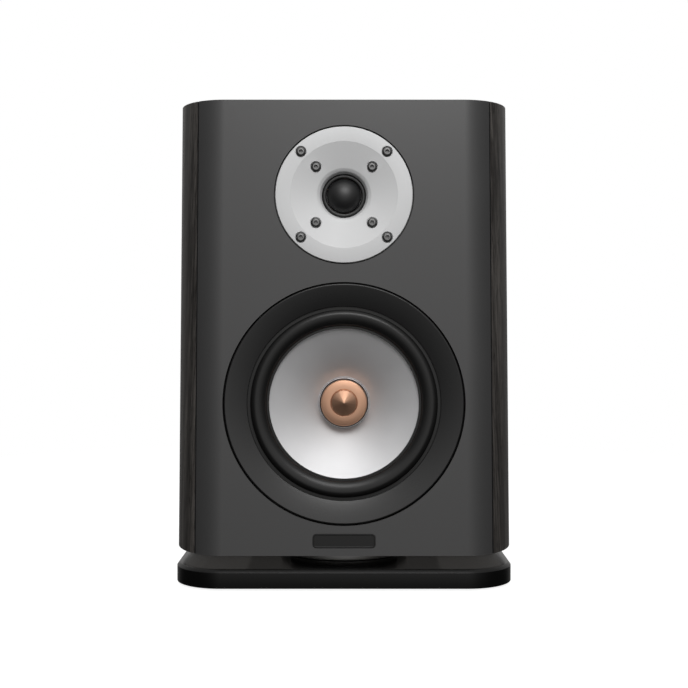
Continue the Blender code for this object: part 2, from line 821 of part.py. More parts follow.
def make_tweeter(axis, moving):
    make_faceplate(axis)
    make_screws(axis)
    turned("tweeter_surround", shell(tweeter_roll_sheet(), 0.35 * MM), SOFT_DOME, axis, COARSE)
    crown = dome_sheet()
    thickness = 0.4 * MM
    under = [(max(radius - thickness * 0.6, 0), depth + thickness) for radius, depth in crown]
    profile = crown + list(reversed(under))
    turned("tweeter_dome", profile, SOFT_DOME, moving, COARSE, closed=False)
    ring("tweeter_coil", 12.2 * MM, 12.8 * MM, 9.95 * MM, 15 * MM, ENAMELLED_COPPER, moving, COARSE)
    top_plate = ring("tweeter_top_plate", 13.5 * MM, 36 * MM, 10.4 * MM, 14.4 * MM, STEEL, axis)
    places = screw_places(INNER_SCREW_OFFSET)
    holes = cylinders("holes", places, SCREW_SHAFT_RADIUS + GAP, 9 * MM, 16 * MM)
    cut(top_plate, add_mesh("top_plate_holes", holes, None, axis))
    ring("tweeter_magnet", 17 * MM, 34 * MM, 14.7 * MM, 24.7 * MM, FERRITE, axis, COARSE)
    yoke = millimetres((0, 11), (11.7, 11), (11.7, 25), (34, 25), (34, 29), (0, 29))
    turned("tweeter_back_plate", yoke, STEEL, axis, COARSE, closed=False)
    chamber = millimetres(
        (0, 55.5), (24.6, 55.5), (27.5, 52.6), (27.5, 29.3), (30, 29.3), (30, 54), (26, 58), (0, 58)
    )
    turned("tweeter_rear_chamber", chamber, BLACK_PLASTIC, axis, COARSE, closed=False)


# ---------------------------------------------------------------- rear fittings


def make_port(axis):
    """The bass port: a tube with a rounded mouth at both ends."""
    throat = PORT_RADIUS
    wall = PORT_WALL
    mouth = 9 * MM
    turns = 4
    profile = [(PORT_FLANGE_RADIUS, 0.5 * MM), (PORT_FLANGE_RADIUS, PORT_FLANGE - GAP)]
    profile.append((throat + wall, PORT_FLANGE - GAP))
    profile.append((throat + wall, PORT_LENGTH - 2 * MM))
    profile.append((throat + wall / 2, PORT_LENGTH))
    profile.append((throat, PORT_LENGTH - 2 * MM))
    for i in range(turns + 1):
        angle = QUARTER * i / turns
        profile.append((throat + mouth * (1 - math.cos(angle)), mouth * (1 - math.sin(angle))))
    return turned("port_tube", profile, BLACK_PLASTIC, axis)


def make_terminal_cup(axis):
    """The recessed plate that carries both binding posts."""
    flange = rounded_rectangle(CUP_WIDTH, CUP_HEIGHT, 9.7 * MM)
    cup = prism("terminal_cup", [flange], -CUP_FLANGE, 0, BLACK_PLASTIC, axis)
    tub_outline = rounded_rectangle(
        RECESS_WIDTH + 2 * CUP_WALL, RECESS_HEIGHT + 2 * CUP_WALL, 8.7 * MM
    )
    tub_floor = -RECESS_DEPTH - CUP_WALL
    tub = prism("cup_tub", [tub_outline], tub_floor, -CUP_FLANGE / 2, None, axis)
    cut(cup, tub, "UNION")
    recess = rounded_rectangle(RECESS_WIDTH, RECESS_HEIGHT, 6 * MM)
    cut(cup, prism("cup_recess", [recess], -RECESS_DEPTH, 5 * MM, None, axis))
    places = [(-POST_SPACING / 2, 0), (POST_SPACING / 2, 0)]
    holes = cylinders("holes", places, POST_RADIUS + GAP, 5 * MM, 25 * MM)
    cut(cup, add_mesh("post_holes", holes, None, axis))
    return cup


def make_post(colour_name, side, plastic, axis):
    """A binding post: fixed stud and collar, sliding washer, and a knob that turns."""
    x = side * POST_SPACING / 2
    floor = RECESS_DEPTH
    collar_front = floor - 4 * MM
    tip = floor - 21 * MM
    socket = 2.1 * MM
    socket_end = tip + 14 * MM
    stud_back = floor + 12 * MM
    stud = [
        (0, socket_end),
        (socket, socket_end),
        (socket, tip),
        (POST_RADIUS, tip),
        (POST_RADIUS, collar_front),
        (6.5 * MM, collar_front),
        (6.5 * MM, floor - GAP),
        (POST_RADIUS, floor - GAP),
        (POST_RADIUS, stud_back),
        (0, stud_back),
    ]
    post = turned(f"binding_post_{colour_name}", stud, GOLD, axis, SMALL, closed=False)
    post.location.x = x
    washer_back = collar_front - GAP
    washer_front = washer_back - 1.2 * MM
    slide = bpy.data.objects.new(f"knob_axis_{colour_name}", None)
    PARTS.objects.link(slide)
    slide.parent = axis
    slide.location.x = x
    bore = POST_RADIUS + GAP
    ring(f"post_washer_{colour_name}", bore, 6.5 * MM, washer_front, washer_back, GOLD, slide, SMALL)
    back = washer_front - GAP
    front = back - KNOB_LENGTH
    edge = 0.8 * MM
    grip = [
        (KNOB_RADIUS - edge, front),
        (KNOB_RADIUS, front + edge),
        (KNOB_RADIUS, back - 3 * MM),
        (KNOB_RADIUS - 1 * MM, back - 2 * MM),
        (KNOB_RADIUS - 1 * MM, back),
        (bore, back),
        (bore, front),
    ]
    turned(f"binding_knob_{colour_name}", grip, plastic, slide, SMALL)


# ---------------------------------------------------------------- crossover


def make_crossover():
    """The filter board on the cabinet's floor, with its coils, capacitors and resistor."""
    floor = CABINET_BOTTOM + BOARD + GAP
    thickness = 2 * MM
    middle = Vector((0, FRONT_Y + 185 * MM, floor))
    board_outline = rounded_rectangle(120 * MM, 84 * MM, 4 * MM, 3)
    circuit = prism("crossover_board", [board_outline], 0, thickness, BOARD_GREEN)
    circuit.location = middle
    top = thickness + GAP

    def standing_ring(name, inner, outer, height, x, y):
        item = ring(name, inner, outer, -top - height, -top, ENAMELLED_COPPER, None, COARSE)
        item.location = middle + Vector((x, y, 0))

    def lying_cylinder(name, radius, length, x, y):
        item = disc(name, radius, -length / 2, length / 2, FILM, None, SMALL)
        item.location = middle + Vector((x, y, top + radius))
        item.rotation_euler = (0, QUARTER, 0)

    standing_ring("woofer_inductor", 9 * MM, 22 * MM, 18 * MM, -34 * MM, 14 * MM)
    standing_ring("tweeter_inductor", 7 * MM, 15 * MM, 12 * MM, 36 * MM, 18 * MM)
    lying_cylinder("tweeter_capacitor", 9 * MM, 36 * MM, 34 * MM, -12 * MM)
    lying_cylinder("woofer_capacitor", 8 * MM, 34 * MM, -32 * MM, -26 * MM)
    body = rounded_rectangle(48 * MM, 9 * MM, 1 * MM, 2)
    resistor = prism("tweeter_resistor", [body], top, top + 9 * MM, CEMENT)
    resistor.location += middle + Vector((30 * MM, -33 * MM, 0))


# ---------------------------------------------------------------- assembly


def main():
    woofer_axis = add_axis("woofer_axis", 0, WOOFER_HEIGHT)
    woofer_moving = add_axis("woofer_moving_axis", 0, WOOFER_HEIGHT)
    tweeter_axis = add_axis("tweeter_axis", 0, TWEETER_HEIGHT)
    tweeter_moving = add_axis("tweeter_moving_axis", 0, TWEETER_HEIGHT)
    badge_axis = add_axis("badge_axis", 0, BADGE_HEIGHT)
    port_axis = add_axis("port_axis", CABINET_DEPTH, PORT_HEIGHT, False)
    terminal_axis = add_axis("terminal_axis", CABINET_DEPTH, TERMINAL_HEIGHT, False)
    make_baffle(woofer_axis, tweeter_axis, badge_axis)
    make_side_panel("side_panel_left", -1)
    make_side_panel("side_panel_right", 1)
    make_rear_panel(port_axis, terminal_axis)
    make_cabinet_shell()
    make_wadding()
    make_badge(badge_axis)
    make_base()
    make_pedestal()
    make_woofer(woofer_axis, woofer_moving)
    make_tweeter(tweeter_axis, tweeter_moving)
    make_port(port_axis)
    make_terminal_cup(terminal_axis)
    make_post("red", -1, RED_PLASTIC, terminal_axis)
    make_post("black", 1, BLACK_PLASTIC, terminal_axis)
    make_crossover()


main()
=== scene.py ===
import json
import math

import bmesh
import bpy
from mathutils import Matrix, Vector, noise


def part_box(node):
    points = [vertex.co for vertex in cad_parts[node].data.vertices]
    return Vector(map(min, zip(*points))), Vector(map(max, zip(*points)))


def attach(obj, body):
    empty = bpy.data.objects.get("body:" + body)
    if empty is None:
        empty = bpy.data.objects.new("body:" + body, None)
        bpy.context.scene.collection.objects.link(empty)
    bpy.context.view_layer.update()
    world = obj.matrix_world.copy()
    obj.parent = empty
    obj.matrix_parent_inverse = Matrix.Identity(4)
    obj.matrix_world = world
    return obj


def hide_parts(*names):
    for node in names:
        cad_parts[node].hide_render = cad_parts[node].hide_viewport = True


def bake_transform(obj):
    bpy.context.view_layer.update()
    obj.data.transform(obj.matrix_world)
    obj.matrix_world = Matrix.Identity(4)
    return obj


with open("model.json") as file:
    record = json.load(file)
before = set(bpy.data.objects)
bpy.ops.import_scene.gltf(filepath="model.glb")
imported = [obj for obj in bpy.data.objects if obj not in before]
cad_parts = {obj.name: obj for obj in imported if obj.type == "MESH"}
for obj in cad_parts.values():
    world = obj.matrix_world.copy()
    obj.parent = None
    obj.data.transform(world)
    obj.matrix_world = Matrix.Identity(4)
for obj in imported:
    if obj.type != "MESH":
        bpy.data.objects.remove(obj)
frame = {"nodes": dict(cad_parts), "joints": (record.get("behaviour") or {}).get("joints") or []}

MM = 0.001
QUARTER = math.pi / 2
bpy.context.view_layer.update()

# ---- places read from the frame

JOINTS = {joint["name"]: joint for joint in frame["joints"]}
OUT = Vector(JOINTS["woofer_stroke"]["axis"]).normalized()
SLOPE = -OUT.z / OUT.y
CABINET = "cabinet"
WOOFER_BODY = JOINTS["woofer_stroke"]["child"]
TWEETER_BODY = JOINTS["tweeter_stroke"]["child"]

BAFFLE_LOW, BAFFLE_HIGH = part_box("front_baffle")
REAR_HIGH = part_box("rear_panel")[1]
BOTTOM = BAFFLE_LOW.z
TOP = BAFFLE_HIGH.z
FRONT_Y = BAFFLE_LOW.y


def front_y(z):
    """Where the leaning front stands at a height."""
    return FRONT_Y + SLOPE * (z - BOTTOM)


CABINET_DEPTH = REAR_HIGH.y - front_y(REAR_HIGH.z)


def middle_of(node):
    """The mean of a node's separate corners, which is on the axis of a turned piece."""
    corners = {tuple(round(c, 6) for c in vertex.co) for vertex in frame["nodes"][node].data.vertices}
    return sum((Vector(corner) for corner in corners), Vector()) / len(corners)


def place_on(node, on_plane, facing):
    """A matrix on a leaning face in line with a node. Its local Z is outward and its local Y up."""
    middle = middle_of(node)
    outward = OUT * facing
    sideways = Vector((facing, 0, 0))
    matrix = Matrix((sideways, outward.cross(sideways), outward)).transposed().to_4x4()
    matrix.translation = middle + OUT * (on_plane - middle).dot(OUT)
    return matrix


def front_axis(node):
    return place_on(node, Vector((0, FRONT_Y, BOTTOM)), 1)


def rear_axis(node):
    return place_on(node, Vector((0, REAR_HIGH.y, REAR_HIGH.z)), -1)


WOOFER = front_axis("woofer_trim_ring")
TWEETER = front_axis("tweeter_dome")
BADGE = front_axis("badge_plate")
PORT = rear_axis("port_tube")
KNOB_RED = rear_axis("post_washer_red")
KNOB_BLACK = rear_axis("post_washer_black")
TERMINALS = KNOB_RED.copy()
TERMINALS.translation = (KNOB_RED.translation + KNOB_BLACK.translation) / 2

# ---- node helpers


def add(tree, kind, inputs=None, **settings):
    """Adds a shader node. An input is a number, a colour or another node's output."""
    node = tree.nodes.new(kind)
    for key, value in settings.items():
        setattr(node, key, value)
    for key, value in (inputs or {}).items():
        if isinstance(value, bpy.types.NodeSocket):
            tree.links.new(value, node.inputs[key])
        else:
            node.inputs[key].default_value = value
    return node


def place_of(tree, scale=(1, 1, 1)):
    """Object coordinates in metres, stretched."""
    place = add(tree, "ShaderNodeTexCoord").outputs["Object"]
    return add(tree, "ShaderNodeMapping", {"Vector": place, "Scale": scale}).outputs["Vector"]


def cloudy(tree, vector, scale, detail, roughness=0.5, distortion=0.0):
    inputs = {"Vector": vector, "Scale": scale, "Detail": detail, "Roughness": roughness}
    inputs["Distortion"] = distortion
    return add(tree, "ShaderNodeTexNoise", inputs).outputs["Fac"]


def spread(tree, value, low, high, start=0.0, end=1.0):
    """Maps start..end to low..high, and holds the ends."""
    inputs = {"Value": value, "From Min": start, "From Max": end, "To Min": low, "To Max": high}
    return add(tree, "ShaderNodeMapRange", inputs).outputs["Result"]


def calculated(tree, operation, first, second):
    return add(tree, "ShaderNodeMath", {0: first, 1: second}, operation=operation).outputs[0]


def vector_of(tree, operation, first, second=(0, 0, 0), output="Vector"):
    """The result of one step of arithmetic on vectors."""
    return add(tree, "ShaderNodeVectorMath", {0: first, 1: second}, operation=operation).outputs[output]


def ramp(tree, value, stops):
    node = add(tree, "ShaderNodeValToRGB", {"Fac": value})
    elements = node.color_ramp.elements
    while len(elements) < len(stops):
        elements.new(0.5)
    for element, (position, colour) in zip(elements, stops):
        element.position = position
        element.color = (*colour, 1)
    return node.outputs["Color"]


def blended(tree, share, first, second):
    """A mix of two colours. Each is plain or another node's output."""
    inputs = {0: share}
    for key, value in ((6, first), (7, second)):
        inputs[key] = value if isinstance(value, bpy.types.NodeSocket) else (*value, 1)
    return add(tree, "ShaderNodeMix", inputs, data_type="RGBA").outputs[2]


def bumped(tree, height, strength, distance, normal=None):
    inputs = {"Height": height, "Strength": strength, "Distance": distance}
    if normal is not None:
        inputs["Normal"] = normal
    return add(tree, "ShaderNodeBump", inputs).outputs["Normal"]


def new_material(name, colour, roughness, metallic=0.0, **settings):
    """A material with its shader's plain values. Keywords name further sockets."""
    material = bpy.data.materials.new(name)
    material.use_nodes = True
    inputs = material.node_tree.nodes["Principled BSDF"].inputs
    inputs["Base Color"].default_value = (*colour, 1)
    inputs["Roughness"].default_value = roughness
    inputs["Metallic"].default_value = metallic
    for key, value in settings.items():
        inputs[key.replace("_", " ")].default_value = value
    return material, material.node_tree


def shaded(material, **sockets):
    """The material, with outputs of its nodes linked to its shader."""
    tree = material.node_tree
    for key, socket in sockets.items():
        tree.links.new(socket, tree.nodes["Principled BSDF"].inputs[key.replace("_", " ")])
    return material


def scaled(colour, factor):
    return tuple(min(1.0, c * factor) for c in colour)


def grey(level):
    return (level, level, level)


def tinted(tree, value, colour, low, high, start=0.3, end=0.7):
    """A colour made darker or lighter by a value."""
    return ramp(tree, value, [(start, scaled(colour, low)), (end, scaled(colour, high))])


# ---- materials

TIP_RADIUS = 9.6 * MM
TIP_FADE = 0.3 * MM
TIP_DULLNESS = 1.1
RAY_SCALE = 3.5
BANDS_PER_PITCH = 0.314


def grained(name, colour, roughness, grain, depth, metallic=0.0, variation=0.08, **settings):
    """An even surface with a fine grain: lacquer, moulded plastic, blasted metal or rubber."""
    material, tree = new_material(name, colour, roughness, metallic, **settings)
    place = place_of(tree)
    broad = cloudy(tree, place, 14, 2)
    fine = cloudy(tree, place, 1 / grain, 2, 0.6)
    both = blended(tree, 0.35, broad, fine)
    tint = tinted(tree, both, colour, 1 - variation, 1 + variation)
    rough = spread(tree, both, roughness * 0.88, min(1, roughness * 1.12), 0.3, 0.7)
    normal = bumped(tree, fine, 0.6, depth)
    return shaded(material, Base_Color=tint, Roughness=rough, Normal=normal)


def wood(name):
    """Dark veneer with straight vertical grain, fine pores and a satin lacquer."""
    material, tree = new_material(name, (0.03, 0.025, 0.022), 0.42, Specular_IOR_Level=0.1)
    drift = cloudy(tree, place_of(tree, (1, 1, 0.35)), 9, 2)
    wander = add(tree, "ShaderNodeCombineXYZ", {"X": spread(tree, drift, -0.003, 0.003)})
    lines = vector_of(tree, "ADD", place_of(tree, (1, 1, 0.022)), wander.outputs["Vector"])
    broad = cloudy(tree, lines, 120, 3, 0.55)
    streaks = cloudy(tree, lines, 520, 4, 0.6)
    pores = cloudy(tree, place_of(tree, (1, 1, 0.035)), 1500, 2)
    stops = [(0.38, (0.028, 0.026, 0.0245)), (0.47, (0.052, 0.048, 0.045))]
    stops += [(0.54, (0.08, 0.074, 0.069)), (0.63, (0.115, 0.107, 0.1))]
    colour = ramp(tree, blended(tree, 0.5, broad, streaks), stops)
    pore_floor = spread(tree, pores, 1, 0, 0.56, 0.66)
    colour = blended(tree, spread(tree, pores, 0, 0.7, 0.56, 0.66), colour, (0.004, 0.0035, 0.003))
    rough = spread(tree, streaks, 0.28, 0.42, 0.3, 0.7)
    normal = bumped(tree, pore_floor, 0.35, 0.00006)
    normal = bumped(tree, streaks, 0.25, 0.00005, normal)
    return shaded(material, Base_Color=colour, Roughness=rough, Normal=normal)


def turned_metal(name, colour, roughness, pitch, depth, metallic=1.0, fan=0.0):
    """Metal with faint rings round its own axis, as a lathe leaves them.

    A fan is the height of soft rays that spread over its tip from the axis.
    """
    material, tree = new_material(name, colour, roughness, metallic)
    place = place_of(tree)
    flat = vector_of(tree, "MULTIPLY", place, (1, 1, 0))
    radius = vector_of(tree, "LENGTH", flat, output="Value")
    line = add(tree, "ShaderNodeCombineXYZ", {"X": radius})
    rings = cloudy(tree, line.outputs["Vector"], 1 / pitch, 3, 0.6)
    speckle = cloudy(tree, place, 5200, 1)
    tint = tinted(tree, cloudy(tree, place, 30, 2), colour, 0.95, 1.025)
    rough = spread(tree, rings, roughness * 0.85, roughness * 1.18, 0.3, 0.7)
    normal = bumped(tree, rings, 0.5, depth)
    normal = bumped(tree, speckle, 0.35, depth * 0.7, normal)
    if fan:
        rays = cloudy(tree, vector_of(tree, "NORMALIZE", flat), RAY_SCALE, 2)
        on_tip = spread(tree, radius, 1, 0, TIP_RADIUS - TIP_FADE, TIP_RADIUS)
        normal = bumped(tree, calculated(tree, "MULTIPLY", rays, on_tip), 1.0, fan, normal)
        rough = calculated(tree, "MULTIPLY", rough, spread(tree, on_tip, 1, TIP_DULLNESS))
    return shaded(material, Base_Color=tint, Roughness=rough, Normal=normal)


def bands(tree, direction, pitch, distortion):
    """Even bands across one direction, a pitch apart."""
    inputs = {"Vector": place_of(tree), "Scale": BANDS_PER_PITCH / pitch}
    inputs.update({"Distortion": distortion, "Detail": 1.0})
    return add(tree, "ShaderNodeTexWave", inputs, bands_direction=direction).outputs["Color"]


def woven(name, colour, roughness, pitch, depth):
    """Cloth: two sets of threads that cross, with a little fuzz."""
    material, tree = new_material(name, colour, roughness)
    threads = blended(tree, 0.5, bands(tree, "X", pitch, 0.6), bands(tree, "Y", pitch, 0.6))
    fuzz = cloudy(tree, place_of(tree), 2500, 3, 0.7)
    tint = tinted(tree, threads, colour, 0.7, 1.2, 0.2, 0.8)
    normal = bumped(tree, threads, 0.6, depth)
    normal = bumped(tree, fuzz, 0.3, depth / 2, normal)
    return shaded(material, Base_Color=tint, Normal=normal)


def wound_wire(name, pitch):
    """Enamelled copper wire laid side by side round a coil."""
    colour = (0.5, 0.2, 0.075)
    material, tree = new_material(name, colour, 0.3, 1.0)
    wires = bands(tree, "Z", pitch, 0.3)
    tint = tinted(tree, wires, colour, 0.45, 1, 0.1, 0.6)
    normal = bumped(tree, wires, 0.8, pitch / 3)
    return shaded(material, Base_Color=tint, Normal=normal)


def fibres(name):
    """Loose white fibre, a little uneven in colour."""
    colour = (0.78, 0.78, 0.75)
    material, tree = new_material(name, colour, 0.95, Sheen_Weight=0.4)
    strands = cloudy(tree, place_of(tree, (1, 0.25, 1)), 900, 5, 0.75, 1.5)
    tufts = cloudy(tree, place_of(tree), 60, 3)
    tint = tinted(tree, blended(tree, 0.5, strands, tufts), colour, 0.8, 1)
    normal = bumped(tree, strands, 0.9, 0.0012)
    return shaded(material, Base_Color=tint, Normal=normal)


def circuit(name):
    """Green laminate with broad copper tracks under the mask."""
    material, tree = new_material(name, (0.01, 0.07, 0.03), 0.35)
    inputs = {"Vector": place_of(tree), "Scale": 55.0, "Randomness": 0.85}
    cells = add(tree, "ShaderNodeTexVoronoi", inputs, feature="DISTANCE_TO_EDGE")
    tracks = spread(tree, cells.outputs["Distance"], 0, 1, 0.035, 0.05)
    tint = blended(tree, tracks, (0.006, 0.04, 0.018), (0.015, 0.1, 0.04))
    normal = bumped(tree, tracks, 0.4, 0.00008)
    return shaded(material, Base_Color=tint, Normal=normal)


LACQUER = grained("charcoal_lacquer", (0.05, 0.05, 0.0505), 0.36, 0.0011, 0.000006, variation=0.03)
VENEER = wood("dark_veneer")
BLACK_PAINT = grained("black_painted_board", (0.016, 0.016, 0.0165), 0.42, 0.0006, 0.00001)
RAW_BOARD = grained("raw_fibreboard", (0.36, 0.25, 0.15), 0.85, 0.0007, 0.00008, variation=0.25)
BASE_BLACK = grained("base_satin_black", grey(0.0035), 0.2, 0.0016, 0.0000005, Specular_IOR_Level=0.25)
# The pedestal is black, but its colour is set to a dark grey far lighter than the base: painted light, so
# that its nose front, in shade under the cabinet, reads as lit.
PEDESTAL_GREY_PAINTED_LIGHT = grained("pedestal_grey_painted_light", (0.07, 0.068, 0.065), 0.33, 0.0004, 0.000008)
BADGE_BLACK = grained("badge_black", grey(0.007), 0.3, 0.0003, 0.000006, Specular_IOR_Level=0.3)
TRIM_BLACK = grained("trim_black", (0.008, 0.008, 0.0082), 0.29, 0.0003, 0.000006)
BUTYL = grained("surround_rubber", grey(0.008), 0.32, 0.0005, 0.000004, Specular_IOR_Level=0.32)
FOOT_RUBBER = grained("foot_rubber", grey(0.02), 0.7, 0.0005, 0.00004)
CONE_METAL = turned_metal("cone_aluminium", (0.68, 0.68, 0.69), 0.56, 0.0004, 0.000004, metallic=0.6)
PLATE_METAL = grained("faceplate_aluminium", (0.63, 0.635, 0.64), 0.64, 0.00012, 0.000006, 0.35, 0.02)
COPPER = turned_metal("plug_copper", (0.54, 0.315, 0.21), 0.38, 0.00025, 0.000003, fan=0.0002)
DOME_CLOTH = woven("dome_fabric", (0.01, 0.01, 0.0105), 0.42, 0.0004, 0.000012)
ROLL_CLOTH = grained("dome_roll_coating", grey(0.008), 0.45, 0.0004, 0.000012)
SCREW_STEEL = turned_metal("screw_steel", grey(0.16), 0.42, 0.0002, 0.000006)
MOULDED = grained("moulded_black", grey(0.014), 0.5, 0.0005, 0.00003)
GOLD = turned_metal("post_gold", (0.9, 0.66, 0.28), 0.22, 0.0003, 0.000004)
RED_KNOB = grained("knob_red", (0.42, 0.008, 0.01), 0.25, 0.0006, 0.000005, Coat_Weight=0.4)
BLACK_KNOB = grained("knob_black", grey(0.01), 0.25, 0.0006, 0.000005, Coat_Weight=0.4)
CASTING = grained("basket_casting", (0.05, 0.05, 0.052), 0.6, 0.0008, 0.00005, 0.6)
ZINC = turned_metal("motor_steel", (0.6, 0.6, 0.62), 0.34, 0.0006, 0.00001)
FERRITE = grained("ferrite", (0.03, 0.03, 0.032), 0.65, 0.0009, 0.00006, variation=0.2)
FOIL = turned_metal("former_foil", (0.7, 0.7, 0.72), 0.3, 0.0005, 0.000005)
COIL = wound_wire("coil_copper", 0.0005)
SPIDER = woven("spider_cloth", (0.42, 0.25, 0.08), 0.8, 0.0007, 0.00008)
BOARD_GREEN = circuit("circuit_board")
FILM = grained("capacitor_film", (0.55, 0.42, 0.04), 0.35, 0.001, 0.00001, Coat_Weight=0.3)
CEMENT = grained("resistor_cement", (0.7, 0.68, 0.62), 0.85, 0.0005, 0.00006, variation=0.15)
WADDING = fibres("wadding_fibre")

# ---- mesh helpers


def new_object(name, mesh, material, matrix=None, smooth=math.radians(35)):
    item = bpy.data.objects.new(name, mesh)
    bpy.context.scene.collection.objects.link(item)
    if material is not None:
        mesh.materials.append(material)
    mesh.shade_smooth()
    mesh.set_sharp_from_angle(angle=smooth)
    if matrix is not None:
        item.matrix_world = matrix
    return item


def finished(item, body, slot, *nodes):
    """Puts a piece on its body, in place of its CAD nodes."""
    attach(item, body)
    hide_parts(*nodes)


STRAIGHT = 0.01
SIDE_SHARE = 0.48


def filleted(corners, closed=True, step=math.radians(15)):
    """Rounds an outline's corners. A corner is (x, y) or (x, y, fillet).

    A fillet is made smaller where it would take up more than SIDE_SHARE of a side.
    """
    count = len(corners)
    points = []
    for i, corner in enumerate(corners):
        here = Vector(corner[:2])
        fillet = corner[2] if len(corner) > 2 else 0
        at_end = not closed and i in (0, count - 1)
        if not fillet or at_end:
            points.append(here)
            continue
        before = Vector(corners[i - 1][:2]) - here
        after = Vector(corners[(i + 1) % count][:2]) - here
        opening = before.angle(after)
        if math.pi - opening < STRAIGHT:
            points.append(here)
            continue
        reach = min(fillet / math.tan(opening / 2), SIDE_SHARE * min(before.length, after.length))
        radius = reach * math.tan(opening / 2)
        inward = (before.normalized() + after.normalized()).normalized()
        centre = here + inward * (radius / math.sin(opening / 2))
        start = here + before.normalized() * reach - centre
        end = here + after.normalized() * reach - centre
        sweep = math.atan2(start.x * end.y - start.y * end.x, start.dot(end))
        pieces = max(1, math.ceil(abs(sweep) / step))
        for k in range(pieces + 1):
            turn = Matrix.Rotation(sweep * k / pieces, 2)
            points.append(centre + turn @ start)
    return points


def shell_mesh(rings, closed_along, cap_ends):
    """Joins rings of equal length into a skin. A ring of one point closes to a tip."""
    shape = bmesh.new()
    made = [[shape.verts.new(point) for point in ring] for ring in rings]
    pairs = list(zip(made, made[1:]))
    if closed_along:
        pairs.append((made[-1], made[0]))
    for near, far in pairs:
        count = max(len(near), len(far))
        for i in range(count):
            j = (i + 1) % count
            if len(near) == 1:
                corners = (near[0], far[i], far[j])
            elif len(far) == 1:
                corners = (near[i], far[0], near[j])
            else:
                corners = (near[i], far[i], far[j], near[j])
            shape.faces.new(corners)
    if cap_ends:
        for ring in (made[0], made[-1]):
            if len(ring) > 2:
                shape.faces.new(ring)
    bmesh.ops.recalc_face_normals(shape, faces=shape.faces)
    mesh = bpy.data.meshes.new("skin")
    shape.to_mesh(mesh)
    shape.free()
    return mesh


def turned_mesh(profile, closed=True, steps=192, wave=None):
    """Turns (radius, depth) points about local Z. wave(angle, radius, depth) shifts a radius."""
    rings = []
    for radius, depth in profile:
        if radius < 1e-7:
            rings.append([(0, 0, -depth)])
            continue
        ring = []
        for i in range(steps):
            angle = 2 * math.pi * i / steps
            r = radius + (wave(angle, radius, depth) if wave else 0)
            ring.append((r * math.cos(angle), r * math.sin(angle), -depth))
        rings.append(ring)
    return shell_mesh(rings, closed, not closed)


def turned(name, corners, material, matrix, closed=True, steps=192, wave=None):
    """A turned piece from corners in millimetres: (radius, depth) or (radius, depth, fillet)."""
    metres = [tuple(value * MM for value in corner) for corner in corners]
    mesh = turned_mesh(filleted(metres, closed), closed, steps, wave)
    mesh.name = name
    return new_object(name, mesh, material, matrix)


def lofted(name, outlines, material, matrix=None):
    """A solid through outlines of equal length, each a list of 3D points, capped at both ends."""
    mesh = shell_mesh(outlines, False, True)
    mesh.name = name
    return new_object(name, mesh, material, matrix)


def arc(centre, radius, start, end, count):
    x, y = centre
    angles = [start + (end - start) / count * i for i in range(count + 1)]
    return [(x + radius * math.cos(angle), y + radius * math.sin(angle)) for angle in angles]


def rounded_rectangle(width, height, corner, count=10):
    x = width / 2 - corner
    y = height / 2 - corner
    points = []
    for quarter, centre in enumerate([(x, y), (-x, y), (-x, -y), (x, -y)]):
        points += arc(centre, corner, quarter * QUARTER, (quarter + 1) * QUARTER, count)
    return points


def mirrored(half):
    return half + [(-x, y) for x, y in reversed(half)]


def soften(item, width, segments=3, angle=math.radians(40)):
    """Rounds a piece's sharp edges and keeps its flat faces flat in the shading."""
    bevel = item.modifiers.new("edges", "BEVEL")
    bevel.width = width
    bevel.segments = segments
    bevel.limit_method = "ANGLE"
    bevel.angle_limit = angle
    bevel.miter_outer = "MITER_ARC"
    bevel.harden_normals = True


def settle(item):
    """Makes a piece's modifiers part of its mesh."""
    graph = bpy.context.evaluated_depsgraph_get()
    mesh = bpy.data.meshes.new_from_object(item.evaluated_get(graph))
    old = item.data
    item.modifiers.clear()
    item.data = mesh
    mesh.name = item.name
    bpy.data.meshes.remove(old)


def cut_with(item, cutters, operation="DIFFERENCE"):
    """Cuts a piece with solids, or joins them to it. The solids are then thrown away."""
    for cutter in cutters:
        boolean = item.modifiers.new("cut", "BOOLEAN")
        boolean.object = cutter
        boolean.operation = operation
        boolean.solver = "EXACT"
    settle(item)
    for cutter in cutters:
        bpy.data.objects.remove(cutter, do_unlink=True)


def plug_cutter(matrix, radius, front, back, steps=192, offset=(0, 0)):
    """A round cutter between two depths."""
    mesh = turned_mesh([(0, front), (radius, front), (radius, back), (0, back)], False, steps)
    shifted = matrix @ Matrix.Translation((*offset, 0))
    return new_object("cutter", mesh, None, shifted)


def outline_cutter(matrix, outline, front, back):
    rings = [[(x, y, -depth) for x, y in outline] for depth in (front, back)]
    return new_object("cutter", shell_mesh(rings, False, True), None, matrix)


# ---- cabinet outline in plan

BOARD = 18 * MM
BAFFLE_THICKNESS = 22 * MM
WRAP_WIDTH = 38 * MM
WRAP_DEPTH = 55 * MM
SIDE_RADIUS = 900 * MM
HALF_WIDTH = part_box("side_panel_right")[1].x
FLAT_HALF_WIDTH = HALF_WIDTH - WRAP_WIDTH
GROOVE_ANGLE = math.asin((BAFFLE_HIGH.x - FLAT_HALF_WIDTH) / WRAP_WIDTH)
GROOVE_WIDTH = 1.2 * MM
GROOVE_DEPTH = 5 * MM
GAP = 0.3 * MM
TOLERANCE = 0.1 * MM


def wrap_point(angle, inset=0.0):
    """A point on the rounded front corner, a quarter of an ellipse, in half-width and depth."""
    x = FLAT_HALF_WIDTH + WRAP_WIDTH * math.sin(angle)
    depth = WRAP_DEPTH * (1 - math.cos(angle))
    normal = Vector((math.sin(angle) / WRAP_WIDTH, -math.cos(angle) / WRAP_DEPTH)).normalized()
    return (x - inset * normal.x, depth - inset * normal.y)


def side_point(depth, inset=0.0):
    """A point on the long curve behind the corner."""
    radius = SIDE_RADIUS - inset
    centre_x = HALF_WIDTH - SIDE_RADIUS
    return (centre_x + math.sqrt(radius**2 - (depth - WRAP_DEPTH) ** 2), depth)


